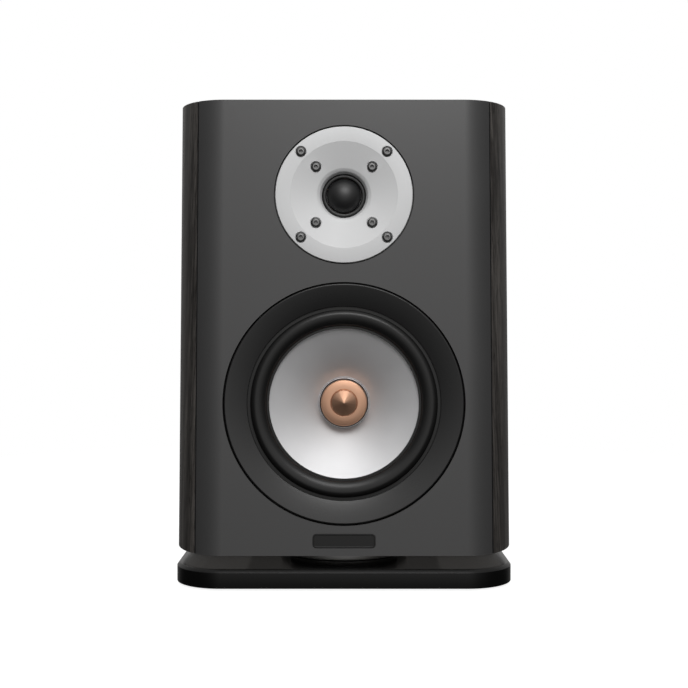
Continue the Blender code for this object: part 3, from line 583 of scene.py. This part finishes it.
def wrap_run(inset=0.0, count=40):
    step = (QUARTER - GROOVE_ANGLE) / count
    return [wrap_point(GROOVE_ANGLE + step * i, inset) for i in range(1, count + 1)]


def side_run(rear, inset=0.0, count=40):
    step = (rear - WRAP_DEPTH) / count
    return [side_point(WRAP_DEPTH + step * i, inset) for i in range(1, count + 1)]


def joint_point(along, inward):
    """A point beside the joint of baffle and side panel, from the groove's front corner."""
    corner = Vector(wrap_point(GROOVE_ANGLE))
    into = Vector(wrap_point(GROOVE_ANGLE, 1.0)) - corner
    back = Vector((into.y, -into.x))
    return tuple(corner + back * along + into * inward)


def board(name, outline, bottom, top, material):
    """A leaning board from an outline of half-widths and depths."""
    rings = [[(x, front_y(z) + depth, z) for x, depth in outline] for z in (bottom, top)]
    return lofted(name, rings, material)


# ---- cabinet

TRIM_REBATE = 90.2 * MM
TRIM_REBATE_DEPTH = 12 * MM
WOOFER_HOLE = 76.5 * MM
PLATE_REBATE = 52.6 * MM
PLATE_REBATE_DEPTH = 5.3 * MM
TWEETER_HOLE = 37.5 * MM
OUTER_SCREWS = 32.4 * MM
INNER_SCREWS = 21.1 * MM
SCREW_BORE = 1.9 * MM
BADGE_WIDTH = 46 * MM
BADGE_HEIGHT = 10 * MM
BADGE_CORNER = 2.6 * MM
BADGE_POCKET = 1.2 * MM
PAST = 5 * MM


def screw_places(offset):
    return [(x * offset, y * offset) for x in (-1, 1) for y in (1, -1)]


def make_baffle():
    corner = [wrap_point(GROOVE_ANGLE * i / 24) for i in range(25)]
    unit_in = Vector(joint_point(0, 1)) - Vector(joint_point(0, 0))
    reach = (BAFFLE_THICKNESS - corner[-1][1]) / unit_in.y
    outline = mirrored(corner + [joint_point(0, reach)])
    baffle = board("baffle", outline, BOTTOM, TOP, LACQUER)
    through = BAFFLE_THICKNESS + PAST
    pocket = rounded_rectangle(BADGE_WIDTH + 2 * GAP, BADGE_HEIGHT + 2 * GAP, BADGE_CORNER + GAP)
    cutters = [
        plug_cutter(WOOFER, TRIM_REBATE, -PAST, TRIM_REBATE_DEPTH, 256),
        plug_cutter(WOOFER, WOOFER_HOLE, 0, through),
        plug_cutter(TWEETER, PLATE_REBATE, -PAST, PLATE_REBATE_DEPTH),
        plug_cutter(TWEETER, TWEETER_HOLE, 0, through, 96),
        outline_cutter(BADGE, pocket, -PAST, BADGE_POCKET),
    ]
    for place in screw_places(OUTER_SCREWS):
        cutters.append(plug_cutter(TWEETER, SCREW_BORE, 0, BAFFLE_THICKNESS - 2 * MM, 16, place))
    cut_with(baffle, cutters)
    soften(baffle, 0.16 * MM, 2)
    finished(baffle, CABINET, "baffle_lacquer", "front_baffle")


def make_side(name, side):
    """A curved veneered panel. The faces inside its groove are painted black."""
    outer = wrap_run() + side_run(CABINET_DEPTH)
    inner = wrap_run(BOARD) + side_run(CABINET_DEPTH, BOARD)
    step = 2 * GAP
    front = [joint_point(step, BOARD), joint_point(step, GROOVE_DEPTH)]
    front += [joint_point(GROOVE_WIDTH, GROOVE_DEPTH), joint_point(GROOVE_WIDTH, 0)]
    outline = [(side * x, depth) for x, depth in front + outer + inner[::-1]]
    panel = board(name.replace("panel", "veneer"), outline, BOTTOM, TOP, VENEER)
    panel.data.materials.append(BLACK_PAINT)
    groove_edge = joint_point(GROOVE_WIDTH, 0)[0] + TOLERANCE
    for face in panel.data.polygons:
        depth = face.center.y - front_y(face.center.z)
        if abs(face.center.x) < groove_edge and depth < BAFFLE_THICKNESS:
            face.material_index = 1
    soften(panel, 0.5 * MM)
    finished(panel, CABINET, "side_veneer", name)


def make_rear_panel():
    inset = BOARD + GAP
    front = CABINET_DEPTH - BOARD
    half = [side_point(front, inset)]
    half += [point for point in side_run(CABINET_DEPTH, inset) if point[1] > front]
    panel = board("rear_board", mirrored(half), BOTTOM, TOP, BLACK_PAINT)
    port_rebate = 38.3 * MM
    port_hole = 28 * MM
    port_seat = 4 * MM
    cup_seat = 3.8 * MM
    cup_rebate = rounded_rectangle(104.6 * MM, 84.6 * MM, 10 * MM)
    cup_hole = rounded_rectangle(86.6 * MM, 62.6 * MM, 9 * MM)
    cutters = [
        plug_cutter(PORT, port_rebate, -PAST, port_seat),
        plug_cutter(PORT, port_hole, 0, BOARD + PAST),
        outline_cutter(TERMINALS, cup_rebate, -PAST, cup_seat),
        outline_cutter(TERMINALS, cup_hole, 0, BOARD + PAST),
    ]
    cut_with(panel, cutters)
    soften(panel, 0.4 * MM, 2)
    finished(panel, CABINET, "black_board", "rear_panel")


def make_boards():
    """The bottom and top boards, set between the side panels."""
    inset = BOARD + GAP
    front = BAFFLE_THICKNESS + GAP
    half = [(joint_point(0, inset)[0], front)]
    half += [point for point in wrap_run(inset) if point[1] > front]
    outline = mirrored(half + side_run(CABINET_DEPTH - BOARD - GAP, inset))
    for name, low, high in (("bottom_panel", BOTTOM, BOTTOM + BOARD), ("top_panel", TOP - BOARD, TOP)):
        panel = board(name.replace("panel", "board"), outline, low, high, BLACK_PAINT)
        soften(panel, 0.4 * MM, 2)
        finished(panel, CABINET, "black_board", name)


def make_badge():
    """A blank plate with a fine raised rim."""
    rings = []
    rim = [(0.3, -0.9), (0, -0.6), (0, 0.12), (0.1, 0.26), (0.25, 0.3), (0.75, 0.3), (0.9, 0.22), (0.95, 0.1)]
    for inset, proud in rim:
        width = BADGE_WIDTH - 2 * inset * MM
        height = BADGE_HEIGHT - 2 * inset * MM
        outline = rounded_rectangle(width, height, BADGE_CORNER - inset * MM)
        rings.append([(x, y, proud * MM) for x, y in outline])
    badge = lofted("badge", rings, BADGE_BLACK, BADGE)
    finished(badge, CABINET, "badge_black", "badge_plate")


# ---- base

BASE_LOW, BASE_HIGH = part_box("base_plate")
BASE_CORNER = 35.7 * MM
BASE_TAPER = math.radians(1)
BASE_CHAMFER = 2.3 * MM
NOSE_RADIUS = 42 * MM
NOSE_THICKNESS = 6.2 * MM
NECK_INSET = 17 * MM
NECK_TOP_GAP = 1 * MM
BLOCK_EDGE = 1.2 * MM
RIM = 6 * MM


def stacked(name, profile, outline, material):
    """A solid from a profile of (inset, height): each level is the outline drawn in by its inset."""
    rings = [[(x, y, z) for x, y in outline(inset)] for inset, z in filleted(profile, False)]
    return lofted(name, rings, material)


def base_outline(inset, count=24):
    """The base plate's outline, drawn in by an inset on all sides."""
    radius = BASE_CORNER - inset
    x = BASE_HIGH.x - BASE_CORNER
    front = BASE_LOW.y + BASE_CORNER
    rear = BASE_HIGH.y - BASE_CORNER
    half = arc((x, front), radius, -QUARTER, BASE_TAPER, count)
    half += arc((x - math.tan(BASE_TAPER) * (rear - front), rear), radius, BASE_TAPER, QUARTER, count)
    return mirrored(half)


def make_base():
    """A slab with a wide chamfer round the top and a hair of a round on every edge."""
    low = BASE_LOW.z
    high = BASE_HIGH.z
    edge = 0.35 * MM
    profile = [(4 * MM, low), (0, low, edge), (0, high - BASE_CHAMFER, edge), (BASE_CHAMFER, high, edge)]
    profile.append((RIM, high))
    plate = stacked("base", profile, base_outline, BASE_BLACK)
    recesses = []
    for number in range(1, 5):
        foot_low, foot_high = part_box(f"foot_{number}")
        middle = (foot_low + foot_high) / 2
        radius = (foot_high.x - foot_low.x) / 2
        matrix = Matrix.Translation((middle.x, middle.y, 0))
        recesses.append(plug_cutter(matrix, radius + GAP, -foot_high.z - GAP, PAST, 64))
        height = foot_high.z / MM
        width = radius / MM
        profile = [(0, -height), (width, -height, 0.3), (width, -0.9, 0.5), (width - 0.8, 0, 0.5)]
        profile += [(width - 2.2, 0, 0.2), (width - 2.6, -0.4, 0.2), (width - 3.4, -0.4, 0.2)]
        profile += [(width - 3.8, 0, 0.2), (0, 0)]
        foot = turned(f"rubber_foot_{number}", profile, FOOT_RUBBER, matrix, False, 64)
        finished(foot, CABINET, "foot_rubber", f"foot_{number}")
    cut_with(plate, recesses)
    finished(plate, CABINET, "base_black", "base_plate")


def stadium(radius, front, rear, inset, count=40):
    """A slot shape, round at both ends, between two places on Y, drawn in by an inset."""
    radius -= inset
    front_half = arc((0, front + inset + radius), radius, -math.pi, 0, count)
    return front_half + arc((0, rear - inset - radius), radius, 0, math.pi, count)


def make_pedestal():
    """A straight neck, with a round nose under the cabinet that stands out in front of it."""
    low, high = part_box("pedestal")
    edge = 0.4 * MM
    nose_low = high.z - NOSE_THICKNESS
    profile = [(RIM, high.z), (0, high.z, edge), (0, nose_low, BLOCK_EDGE), (RIM, nose_low)]

    def nose(inset):
        return stadium(NOSE_RADIUS, low.y, high.y, inset)

    def neck(inset):
        return stadium(high.x, low.y + NECK_INSET, high.y - NECK_INSET, inset)

    # Nose and neck both take the lightened pedestal colour, which is painted light for the shaded nose front.
    block = stacked("pedestal_block", profile, nose, PEDESTAL_GREY_PAINTED_LIGHT)
    top = high.z - NECK_TOP_GAP
    profile = [(RIM, top), (0, top, BLOCK_EDGE), (0, low.z, edge), (RIM, low.z)]
    column = stacked("pedestal_neck", profile, neck, PEDESTAL_GREY_PAINTED_LIGHT)
    cut_with(block, [column], "UNION")
    finished(block, CABINET, "pedestal_black", "pedestal")


# ---- woofer


def sheet(front, thickness):
    """A closed profile of a thin sheet from its front side."""
    back = []
    for i, (radius, depth) in enumerate(front):
        before = Vector(front[max(i - 1, 0)])
        after = Vector(front[min(i + 1, len(front) - 1)])
        along = (after - before).normalized()
        back.append((radius - along.y * thickness, depth + along.x * thickness))
    return front + back[::-1]


def half_roll(crest, inner, outer, height, seat, count=36):
    """A half roll that reaches inward and outward from its crest."""
    points = []
    for i in range(count + 1):
        angle = math.pi * (1 - i / count)
        reach = inner if angle > QUARTER else outer
        points.append((crest + reach * math.cos(angle), seat - height * math.sin(angle)))
    return points


def bend_between(item, matrix, still, moving, inner, outer, slot, node):
    """Bakes a piece's place into its mesh and hides its CAD node. It is put on no body. The matrix, both
    bodies, both radii and the slot are not used.
    """
    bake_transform(item)
    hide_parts(node)


def make_woofer():
    trim = [(88.3, 0.2, 0.5), (89.2, 0.75, 0.4), (89.2, 6.9, 0.3), (75.5, 6.9), (75.5, 5.6)]
    trim += [(72.2, 5.6, 0.3), (72.2, 4.4, 0.5), (80.0, 2.4, 4.0)]
    ring = turned("trim_ring", trim, TRIM_BLACK, WOOFER, steps=256)
    finished(ring, CABINET, "trim_black", "woofer_trim_ring")

    roll = [(55.9, 6.0), (57.2, 6.0)] + half_roll(65.6, 7.9, 4.4, 5.0, 6.0) + [(71.0, 6.0), (75.0, 6.0)]
    surround = turned("surround", sheet(roll, 0.8), BUTYL, WOOFER, steps=256)
    bodies = (CABINET, WOOFER_BODY)
    bend_between(surround, WOOFER, *bodies, 58.0, 70.0, "surround_rubber", "woofer_surround")

    neck = (19.4, 31.5)
    edge = (58.0, 7.1)
    bow = 1.6
    count = 28
    front = []
    for i in range(count + 1):
        share = i / count
        radius = neck[0] + (edge[0] - neck[0]) * share
        depth = neck[1] + (edge[1] - neck[1]) * share - bow * math.sin(math.pi * share)
        front.append((radius, depth))
    cone = turned("cone", sheet(front, 0.6), CONE_METAL, WOOFER, steps=256)
    finished(cone, WOOFER_BODY, "cone_aluminium", "woofer_cone")

    former = [(19.1, 30.4, 0.1), (19.1, 63, 0.1), (18.7, 63, 0.1), (18.7, 30.4, 0.1)]
    tube = turned("coil_former", former, FOIL, WOOFER)
    finished(tube, WOOFER_BODY, "former_foil", "voice_coil_former")
    turns = 28
    first = 49
    last = 63
    pitch = (last - first) / turns
    wire = [(19.4, last), (19.4, first)]
    for i in range(turns):
        wire += [(20.05, first + pitch * i), (20.3, first + pitch * (i + 0.5))]
    wire.append((20.05, last))
    coil = turned("winding", wire, COIL, WOOFER, steps=96)
    finished(coil, WOOFER_BODY, "coil_copper", "voice_coil")

    plug = [(0, 15.4), (0.7, 15.75, 0.6), (9.6, 20.6, 0.25), (9.85, 21.7, 0.15), (10.4, 21.2, 0.3)]
    plug += [(13.5, 21.45, 3.0), (16.9, 21.9, 0.4), (17.6, 22.8, 0.4), (17.6, 52.7, 0.2), (0, 52.7)]
    pin = turned("phase_plug_body", plug, COPPER, WOOFER, False)
    finished(pin, CABINET, "plug_copper", "phase_plug")

    waves = 4
    height = 1.4
    level = 38.0
    count = 96
    cloth = [(19.8, level)]
    for i in range(count + 1):
        share = i / count
        cloth.append((22.0 + 22.6 * share, level - height * math.sin(2 * math.pi * waves * share)))
    cloth.append((50.0, level))
    spider = turned("spider", sheet(cloth, 0.5), SPIDER, WOOFER, steps=128)
    bend_between(spider, WOOFER, *bodies, 22.0, 44.6, "spider_cloth", "woofer_spider")


# ---- tweeter

OUTER_SEAT = 1.5
INNER_SEAT = 3.3


def make_faceplate():
    profile = [(51.2, 0, 0.25), (51.55, 0.35, 0.25), (51.55, 5.0, 0.3), (36.0, 5.0), (36.0, 9.3, 0.3)]
    profile += [(16.8, 9.3, 0.2), (16.8, 7.6, 0.5), (18.2, 5.0, 1.5), (20.5, 3.8, 2.5)]
    profile += [(40.0, 0.12, 0.5), (40.35, 0, 0.3)]
    plate = turned("faceplate", profile, PLATE_METAL, TWEETER, steps=256)
    head_bore = 4.35 * MM
    cutters = []
    for offset, seat in ((OUTER_SCREWS, OUTER_SEAT), (INNER_SCREWS, INNER_SEAT)):
        for place in screw_places(offset):
            cutters.append(plug_cutter(TWEETER, head_bore, -PAST, seat * MM, 48, place))
            cutters.append(plug_cutter(TWEETER, SCREW_BORE, 0, 15 * MM, 24, place))
    cut_with(plate, cutters)
    soften(plate, 0.12 * MM, 2, math.radians(50))
    finished(plate, CABINET, "faceplate_aluminium", "tweeter_faceplate")


def make_screw(name, place, seat, length, node):
    """A button-head screw with a hexagon socket and a threaded shaft."""
    back = seat - 0.3
    front = back - 2.0
    head = 3.8
    shaft = 1.6
    pitch = 0.7
    corners = [(0, front), (head - 1.5, front, 0.6), (head - 0.35, front + 0.75, 0.9)]
    corners += [(head, front + 1.5, 0.3), (head, back, 0.2), (shaft, back)]
    depth = back + 0.6
    while depth < back + length - 0.5:
        corners += [(shaft, depth), (shaft - 0.25, depth + pitch / 2)]
        depth += pitch
    corners += [(shaft - 0.4, back + length, 0.2), (0, back + length)]
    matrix = TWEETER @ Matrix.Translation((*place, 0))
    screw = turned(name, corners, SCREW_STEEL, matrix, False, 64)
    socket = plug_cutter(matrix, 1.7 * MM, (front - 1) * MM, (front + 2.4) * MM, 6)
    cut_with(screw, [socket])
    soften(screw, 0.08 * MM, 2, math.radians(50))
    finished(screw, CABINET, "screw_steel", node)


def make_tweeter():
    make_faceplate()
    for number, place in enumerate(screw_places(OUTER_SCREWS), 1):
        make_screw(f"plate_screw_{number}", place, OUTER_SEAT, 16, f"faceplate_screw_{number}")
    for number, place in enumerate(screw_places(INNER_SCREWS), 1):
        make_screw(f"inner_screw_{number}", place, INNER_SEAT, 10, f"motor_screw_{number}")

    rim_radius = 12.9
    height = 6.3
    rim_depth = 9.2
    curvature = (rim_radius**2 + height**2) / (2 * height)
    span = math.asin(rim_radius / curvature)
    count = 32
    crown = []
    for i in range(count + 1):
        angle = span * i / count
        crown.append((curvature * math.sin(angle), rim_depth - height + curvature * (1 - math.cos(angle))))
    under = [(max(radius - 0.2, 0), depth + 0.3) for radius, depth in crown]
    under[0] = (0, crown[0][1] + 0.3)
    dome = turned("dome", crown + under[::-1], DOME_CLOTH, TWEETER, False, 128)
    finished(dome, TWEETER_BODY, "dome_fabric", "tweeter_dome")

    roll = half_roll(14.9, 1.6, 1.6, 1.3, 9.6, 24) + [(20, 9.6)]
    ring = turned("dome_roll", sheet(roll, 0.3), ROLL_CLOTH, TWEETER, steps=128)
    bend_between(ring, TWEETER, CABINET, TWEETER_BODY, 13.3, 16.5, "dome_fabric", "tweeter_surround")


# ---- rear fittings


def make_port():
    throat = 25.0
    wall = 2.5
    flare = 9.0
    outer = throat + wall
    profile = [(38.0, 0.5, 0.5), (38.0, 3.7, 0.3), (outer, 3.7), (outer, 130), (outer + 3.5, 139, 1.0)]
    profile += [(throat + 4.5, 140, 0.8), (throat + 1.2, 135.5, 3.0), (throat, 128, 3.0)]
    profile.append((throat, flare + 6, 3.0))
    for i in range(1, 15):
        angle = QUARTER * i / 14
        profile.append((throat + flare * (1 - math.cos(angle)), flare * (1 - math.sin(angle))))
    tube = turned("port", profile, MOULDED, PORT, steps=160)
    finished(tube, CABINET, "moulded_black", "port_tube")


def make_terminal_cup():
    """A flanged cup, lofted from its back round the rim to its floor."""
    back = [(86, 62, 8.7, 18), (86, 62, 8.7, 3.5), (103.4, 83.4, 9.4, 3.5)]
    rim = [(104, 84, 9.7, 3.2), (104, 84, 9.7, 0.5), (103.6, 83.6, 9.5, 0.15), (102.8, 82.8, 9.1, 0)]
    mouth = [(83.4, 59.4, 7.7, 0), (82.2, 58.2, 7.1, 0.25), (81.4, 57.4, 6.7, 0.9)]
    floor = [(80.2, 56.2, 6.1, 13.4), (79.6, 55.6, 5.8, 14.6), (78.4, 54.4, 5.2, 15)]
    rings = []
    for width, height, corner, depth in back + rim + mouth + floor:
        outline = rounded_rectangle(width * MM, height * MM, corner * MM)
        rings.append([(x, y, -depth * MM) for x, y in outline])
    cup = lofted("connector_cup", rings, MOULDED, TERMINALS)
    spacing = (KNOB_RED.translation - KNOB_BLACK.translation).length
    places = [(side * spacing / 2, 0) for side in (-1, 1)]
    cut_with(cup, [plug_cutter(TERMINALS, 3.3 * MM, 5 * MM, 25 * MM, 32, place) for place in places])
    finished(cup, CABINET, "moulded_black", "terminal_cup")


def make_post(colour, matrix, plastic):
    floor = 15.0
    tip = floor - 21
    front = floor - 4
    stud = [(0, tip + 14), (2.1, tip + 14), (2.1, tip + 0.3, 0.25), (2.95, tip, 0.3), (3.0, front)]
    stud += [(6.5, front, 0.4), (6.5, floor - 0.3, 0.4), (3.0, floor - 0.3)]
    stud += [(3.0, floor + 12, 0.4), (0, floor + 12)]
    post = turned(f"post_{colour}", stud, GOLD, matrix, False, 96)
    finished(post, CABINET, "post_gold", f"binding_post_{colour}")

    back = front - 0.3
    disc = [(6.5, back - 1.2, 0.3), (6.5, back, 0.3), (3.3, back, 0.15), (3.3, back - 1.2, 0.15)]
    washer = turned(f"washer_{colour}", disc, GOLD, matrix, steps=96)
    finished(washer, f"{colour}_clamp_washer", "post_gold", f"post_washer_{colour}")

    rear = back - 1.5
    length = 15.0
    ribs = 18

    def flutes(angle, radius, depth):
        """Shallow grooves round the grip, away from its ends."""
        if radius < 7.2 * MM:
            return 0
        from_end = min(depth - (rear - length) * MM, (rear - 3) * MM - depth)
        fade = min(max(from_end / (1.2 * MM), 0), 1)
        return -0.45 * MM * fade * (0.5 + 0.5 * math.cos(ribs * angle)) ** 2

    grip = [(6.6, rear - length, 0.4), (7.5, rear - length + 0.9, 0.4)]
    rows = 10
    for i in range(rows + 1):
        grip.append((7.6, rear - length + 1.2 + (length - 4.4) * i / rows))
    grip += [(7.6, rear - 3, 0.3), (6.6, rear - 2.2, 0.3), (6.6, rear, 0.3), (3.3, rear)]
    grip += [(3.3, rear - length + 1.0, 0.2), (4.6, rear - length + 1.0, 0.2), (4.9, rear - length, 0.2)]
    knob = turned(f"knob_{colour}", grip, plastic, matrix, steps=180, wave=flutes)
    finished(knob, f"{colour}_knob", f"knob_{colour}", f"binding_knob_{colour}")


# ---- inside

LUMP_SCALE = 45
TUFT_SCALE = 160


def make_wadding(name, side):
    """A pad of loose fibre against a side wall: crowned, with a soft uneven face."""
    low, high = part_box(name)
    columns = rows = 36
    front = 110 * MM
    rear = 262 * MM
    wall = BOARD + 3 * GAP
    thickness = 16 * MM
    shape = bmesh.new()
    back_face = [[] for row in range(rows + 1)]
    front_face = [[] for row in range(rows + 1)]
    for i in range(rows + 1):
        z = low.z + (high.z - low.z) * i / rows
        edge_z = min(i, rows - i) / rows * 2
        for j in range(columns + 1):
            depth = front + (rear - front) * j / columns
            edge_y = min(j, columns - j) / columns * 2
            crown = (1 - (1 - edge_z) ** 4) * (1 - (1 - edge_y) ** 4)
            lumps = noise.noise(Vector((side * 3, depth * LUMP_SCALE, z * LUMP_SCALE)))
            tufts = noise.noise(Vector((side * 7, depth * TUFT_SCALE, z * TUFT_SCALE)))
            share = 0.25 + crown * (0.6 + 0.09 * lumps + 0.05 * tufts)
            near = side_point(depth, wall + 0.5 * MM)
            far = side_point(depth, wall + thickness * share)
            back_face[i].append(shape.verts.new((side * near[0], front_y(z) + depth, z)))
            front_face[i].append(shape.verts.new((side * far[0], front_y(z) + depth, z)))
    for face in (back_face, front_face):
        for i in range(rows):
            for j in range(columns):
                shape.faces.new((face[i][j], face[i][j + 1], face[i + 1][j + 1], face[i + 1][j]))
    border = [(0, j) for j in range(columns)]
    border += [(i, columns) for i in range(rows)]
    border += [(rows, j) for j in range(columns, 0, -1)]
    border += [(i, 0) for i in range(rows, 0, -1)]
    for (i, j), (k, m) in zip(border, border[1:] + border[:1]):
        shape.faces.new((back_face[i][j], back_face[k][m], front_face[k][m], front_face[i][j]))
    bmesh.ops.recalc_face_normals(shape, faces=shape.faces)
    mesh = bpy.data.meshes.new(name)
    shape.to_mesh(mesh)
    shape.free()
    pad = new_object(name.replace("damping_wadding", "fibre_pad"), mesh, WADDING, None, math.pi)
    finished(pad, CABINET, "wadding", name)


DRIVERS = ("woofer", "tweeter")
CARRIED_OVER = {
    ("raw_board", RAW_BOARD): ["internal_brace"],
    ("basket_casting", CASTING): ["woofer_basket"],
    ("motor_steel", ZINC): [f"{driver}_{end}_plate" for driver in DRIVERS for end in ("top", "back")],
    ("ferrite", FERRITE): [f"{driver}_magnet" for driver in DRIVERS],
    ("coil_copper", COIL): ["tweeter_coil", "woofer_inductor", "tweeter_inductor"],
    ("moulded_black", MOULDED): ["tweeter_rear_chamber"],
    ("circuit_board", BOARD_GREEN): ["crossover_board"],
    ("capacitor_film", FILM): ["tweeter_capacitor", "woofer_capacitor"],
    ("resistor_cement", CEMENT): ["tweeter_resistor"],
}


def carry_over():
    """CAD nodes whose shape is right keep it, and get a better material."""
    for (slot, material), names in CARRIED_OVER.items():
        for name in names:
            node = frame["nodes"][name]
            if not node.data.materials:
                node.data.materials.append(material)
            for holder in node.material_slots:
                holder.material = material


# ---- studio

SHADOW_EDGE = 0.28
FLOOR_EDGE = 0.8


def make_floor():
    """A wide pale floor that glows evenly, and takes a soft shadow close to the speaker."""
    bpy.ops.mesh.primitive_circle_add(vertices=128, radius=60, fill_type="NGON")
    floor = bpy.context.object
    floor.name = "studio_floor"
    material = bpy.data.materials.new("pale_floor")
    material.use_nodes = True
    tree = material.node_tree
    output = tree.nodes["Material Output"]
    tree.nodes.remove(tree.nodes["Principled BSDF"])
    diffuse = add(tree, "ShaderNodeBsdfDiffuse", {"Color": (0.3, 0.3, 0.3, 1)})
    glow = add(tree, "ShaderNodeEmission", {"Color": (1, 1, 1, 1), "Strength": 0.86})
    near = add(tree, "ShaderNodeAddShader", {0: diffuse.outputs[0], 1: glow.outputs[0]})
    far = add(tree, "ShaderNodeEmission", {"Color": (1, 1, 1, 1), "Strength": 1.0})
    away = vector_of(tree, "LENGTH", place_of(tree), output="Value")
    share = spread(tree, away, 0, 1, SHADOW_EDGE, FLOOR_EDGE)
    surface = add(tree, "ShaderNodeMixShader", {0: share, 1: near.outputs[0], 2: far.outputs[0]})
    tree.links.new(surface.outputs[0], output.inputs["Surface"])
    floor.data.materials.append(material)
    floor.visible_diffuse = False
    floor.visible_glossy = False


KEY_DIRECTION = Vector((0.11, -0.79, 0.6)).normalized()
AHEAD = Vector((0.06, -1, 0.12)).normalized()
BEHIND = Vector((0, 0.6, 0.8))
ABOVE = Vector((0, 0, 1))
EVEN_LIGHT = 0.03


def lobe(tree, direction, axis, power, strength):
    """Light from the room round an axis. A higher power makes the region narrower."""
    cosine = vector_of(tree, "DOT_PRODUCT", direction, axis, "Value")
    shaped = calculated(tree, "POWER", calculated(tree, "MAXIMUM", cosine, 0), power)
    return calculated(tree, "MULTIPLY", shaped, strength)


def make_world():
    """The camera sees white. The speaker is lit by the room from in front, from behind and above."""
    world = bpy.data.worlds.new("studio")
    bpy.context.scene.world = world
    world.use_nodes = True
    tree = world.node_tree
    background = tree.nodes["Background"]
    output = tree.nodes["World Output"]
    direction = add(tree, "ShaderNodeTexCoord").outputs["Generated"]
    strength = lobe(tree, direction, KEY_DIRECTION, power=4.0, strength=1.1)
    for axis, power, share in ((AHEAD, 16.0, 0.55), (BEHIND, 2.0, 1.0), (ABOVE, 2.0, 0.1)):
        strength = calculated(tree, "ADD", strength, lobe(tree, direction, axis, power, share))
    strength = calculated(tree, "ADD", strength, EVEN_LIGHT)
    tree.links.new(strength, background.inputs["Strength"])
    background.inputs["Color"].default_value = (1, 0.99, 0.98, 1)
    white = add(tree, "ShaderNodeBackground", {"Color": (1, 1, 1, 1), "Strength": 1.0})
    ray = add(tree, "ShaderNodeLightPath")
    inputs = {0: ray.outputs["Is Camera Ray"], 1: background.outputs[0], 2: white.outputs[0]}
    both = add(tree, "ShaderNodeMixShader", inputs)
    tree.links.new(both.outputs[0], output.inputs["Surface"])


def softbox(name, place, target, width, height, power, colour=(1, 1, 1)):
    light = bpy.data.lights.new(name, "AREA")
    light.shape = "RECTANGLE"
    light.size = width
    light.size_y = height
    light.energy = power
    light.color = colour
    item = bpy.data.objects.new(name, light)
    bpy.context.scene.collection.objects.link(item)
    item.location = place
    item.rotation_euler = (Vector(target) - Vector(place)).to_track_quat("-Z", "Y").to_euler()
    item.visible_camera = False


def make_lights():
    """A key, a top and a rear softbox, and faint light thrown back in the gap over the base."""
    middle = Vector((0, FRONT_Y, (TOP + BOTTOM) / 2))
    over = middle + Vector((0, -0.5, 0.75))
    behind = middle + Vector((-0.6, 1.3, 1.1))
    key = Vector((0, FRONT_Y, 0.29)) + KEY_DIRECTION * 1.1
    softbox("key", key, middle, width=0.6, height=0.4, power=4.3)
    softbox("top", over, middle + Vector((0, 0, 0.1)), width=0.6, height=0.3, power=1.2)
    down = Vector((0, 0, -1))
    warm = (1, 0.95, 0.9)
    under = Vector((0, FRONT_Y + 60 * MM, BOTTOM - 0.2 * MM))
    for x, width, power in ((0, 150, 0.0032), (-100, 50, 0.0018), (100, 50, 0.0018)):
        place = under + Vector((x * MM, 0, 0))
        softbox("gap_glow", place, place + down, width * MM, 90 * MM, power, warm)
    mouth = Vector((0, FRONT_Y + 2 * MM, BOTTOM - 5 * MM))
    softbox("nose_glow", mouth, mouth + Vector((0, 1, 0)), 90 * MM, 6 * MM, 0.0024)
    softbox("rear", behind, middle + Vector((0, 0.3, 0)), width=0.8, height=0.6, power=9.0)


def make_camera():
    """Level, in front of the speaker, a little above its middle."""
    distance = 919 * MM
    eye_height = 211.3 * MM
    camera = bpy.data.objects.new("camera", bpy.data.cameras.new("camera"))
    bpy.context.scene.collection.objects.link(camera)
    camera.location = (0, FRONT_Y - distance, eye_height)
    camera.rotation_euler = (QUARTER, 0, 0)
    camera.data.sensor_width = 36
    camera.data.lens = 65.4
    camera.data.shift_y = -0.059
    camera.data.clip_start = 0.05
    bpy.context.scene.camera = camera


def make_view():
    view = bpy.context.scene.view_settings
    view.view_transform = "Standard"
    view.look = "None"
    view.exposure = 0
    view.gamma = 1


make_camera()
make_baffle()
make_side("side_panel_left", -1)
make_side("side_panel_right", 1)
make_rear_panel()
make_boards()
make_badge()
make_base()
make_pedestal()
make_woofer()
make_tweeter()
make_port()
make_terminal_cup()
make_post("red", KNOB_RED, RED_KNOB)
make_post("black", KNOB_BLACK, BLACK_KNOB)
make_wadding("damping_wadding_left", -1)
make_wadding("damping_wadding_right", 1)
carry_over()
make_floor()
make_world()
make_lights()
make_view()
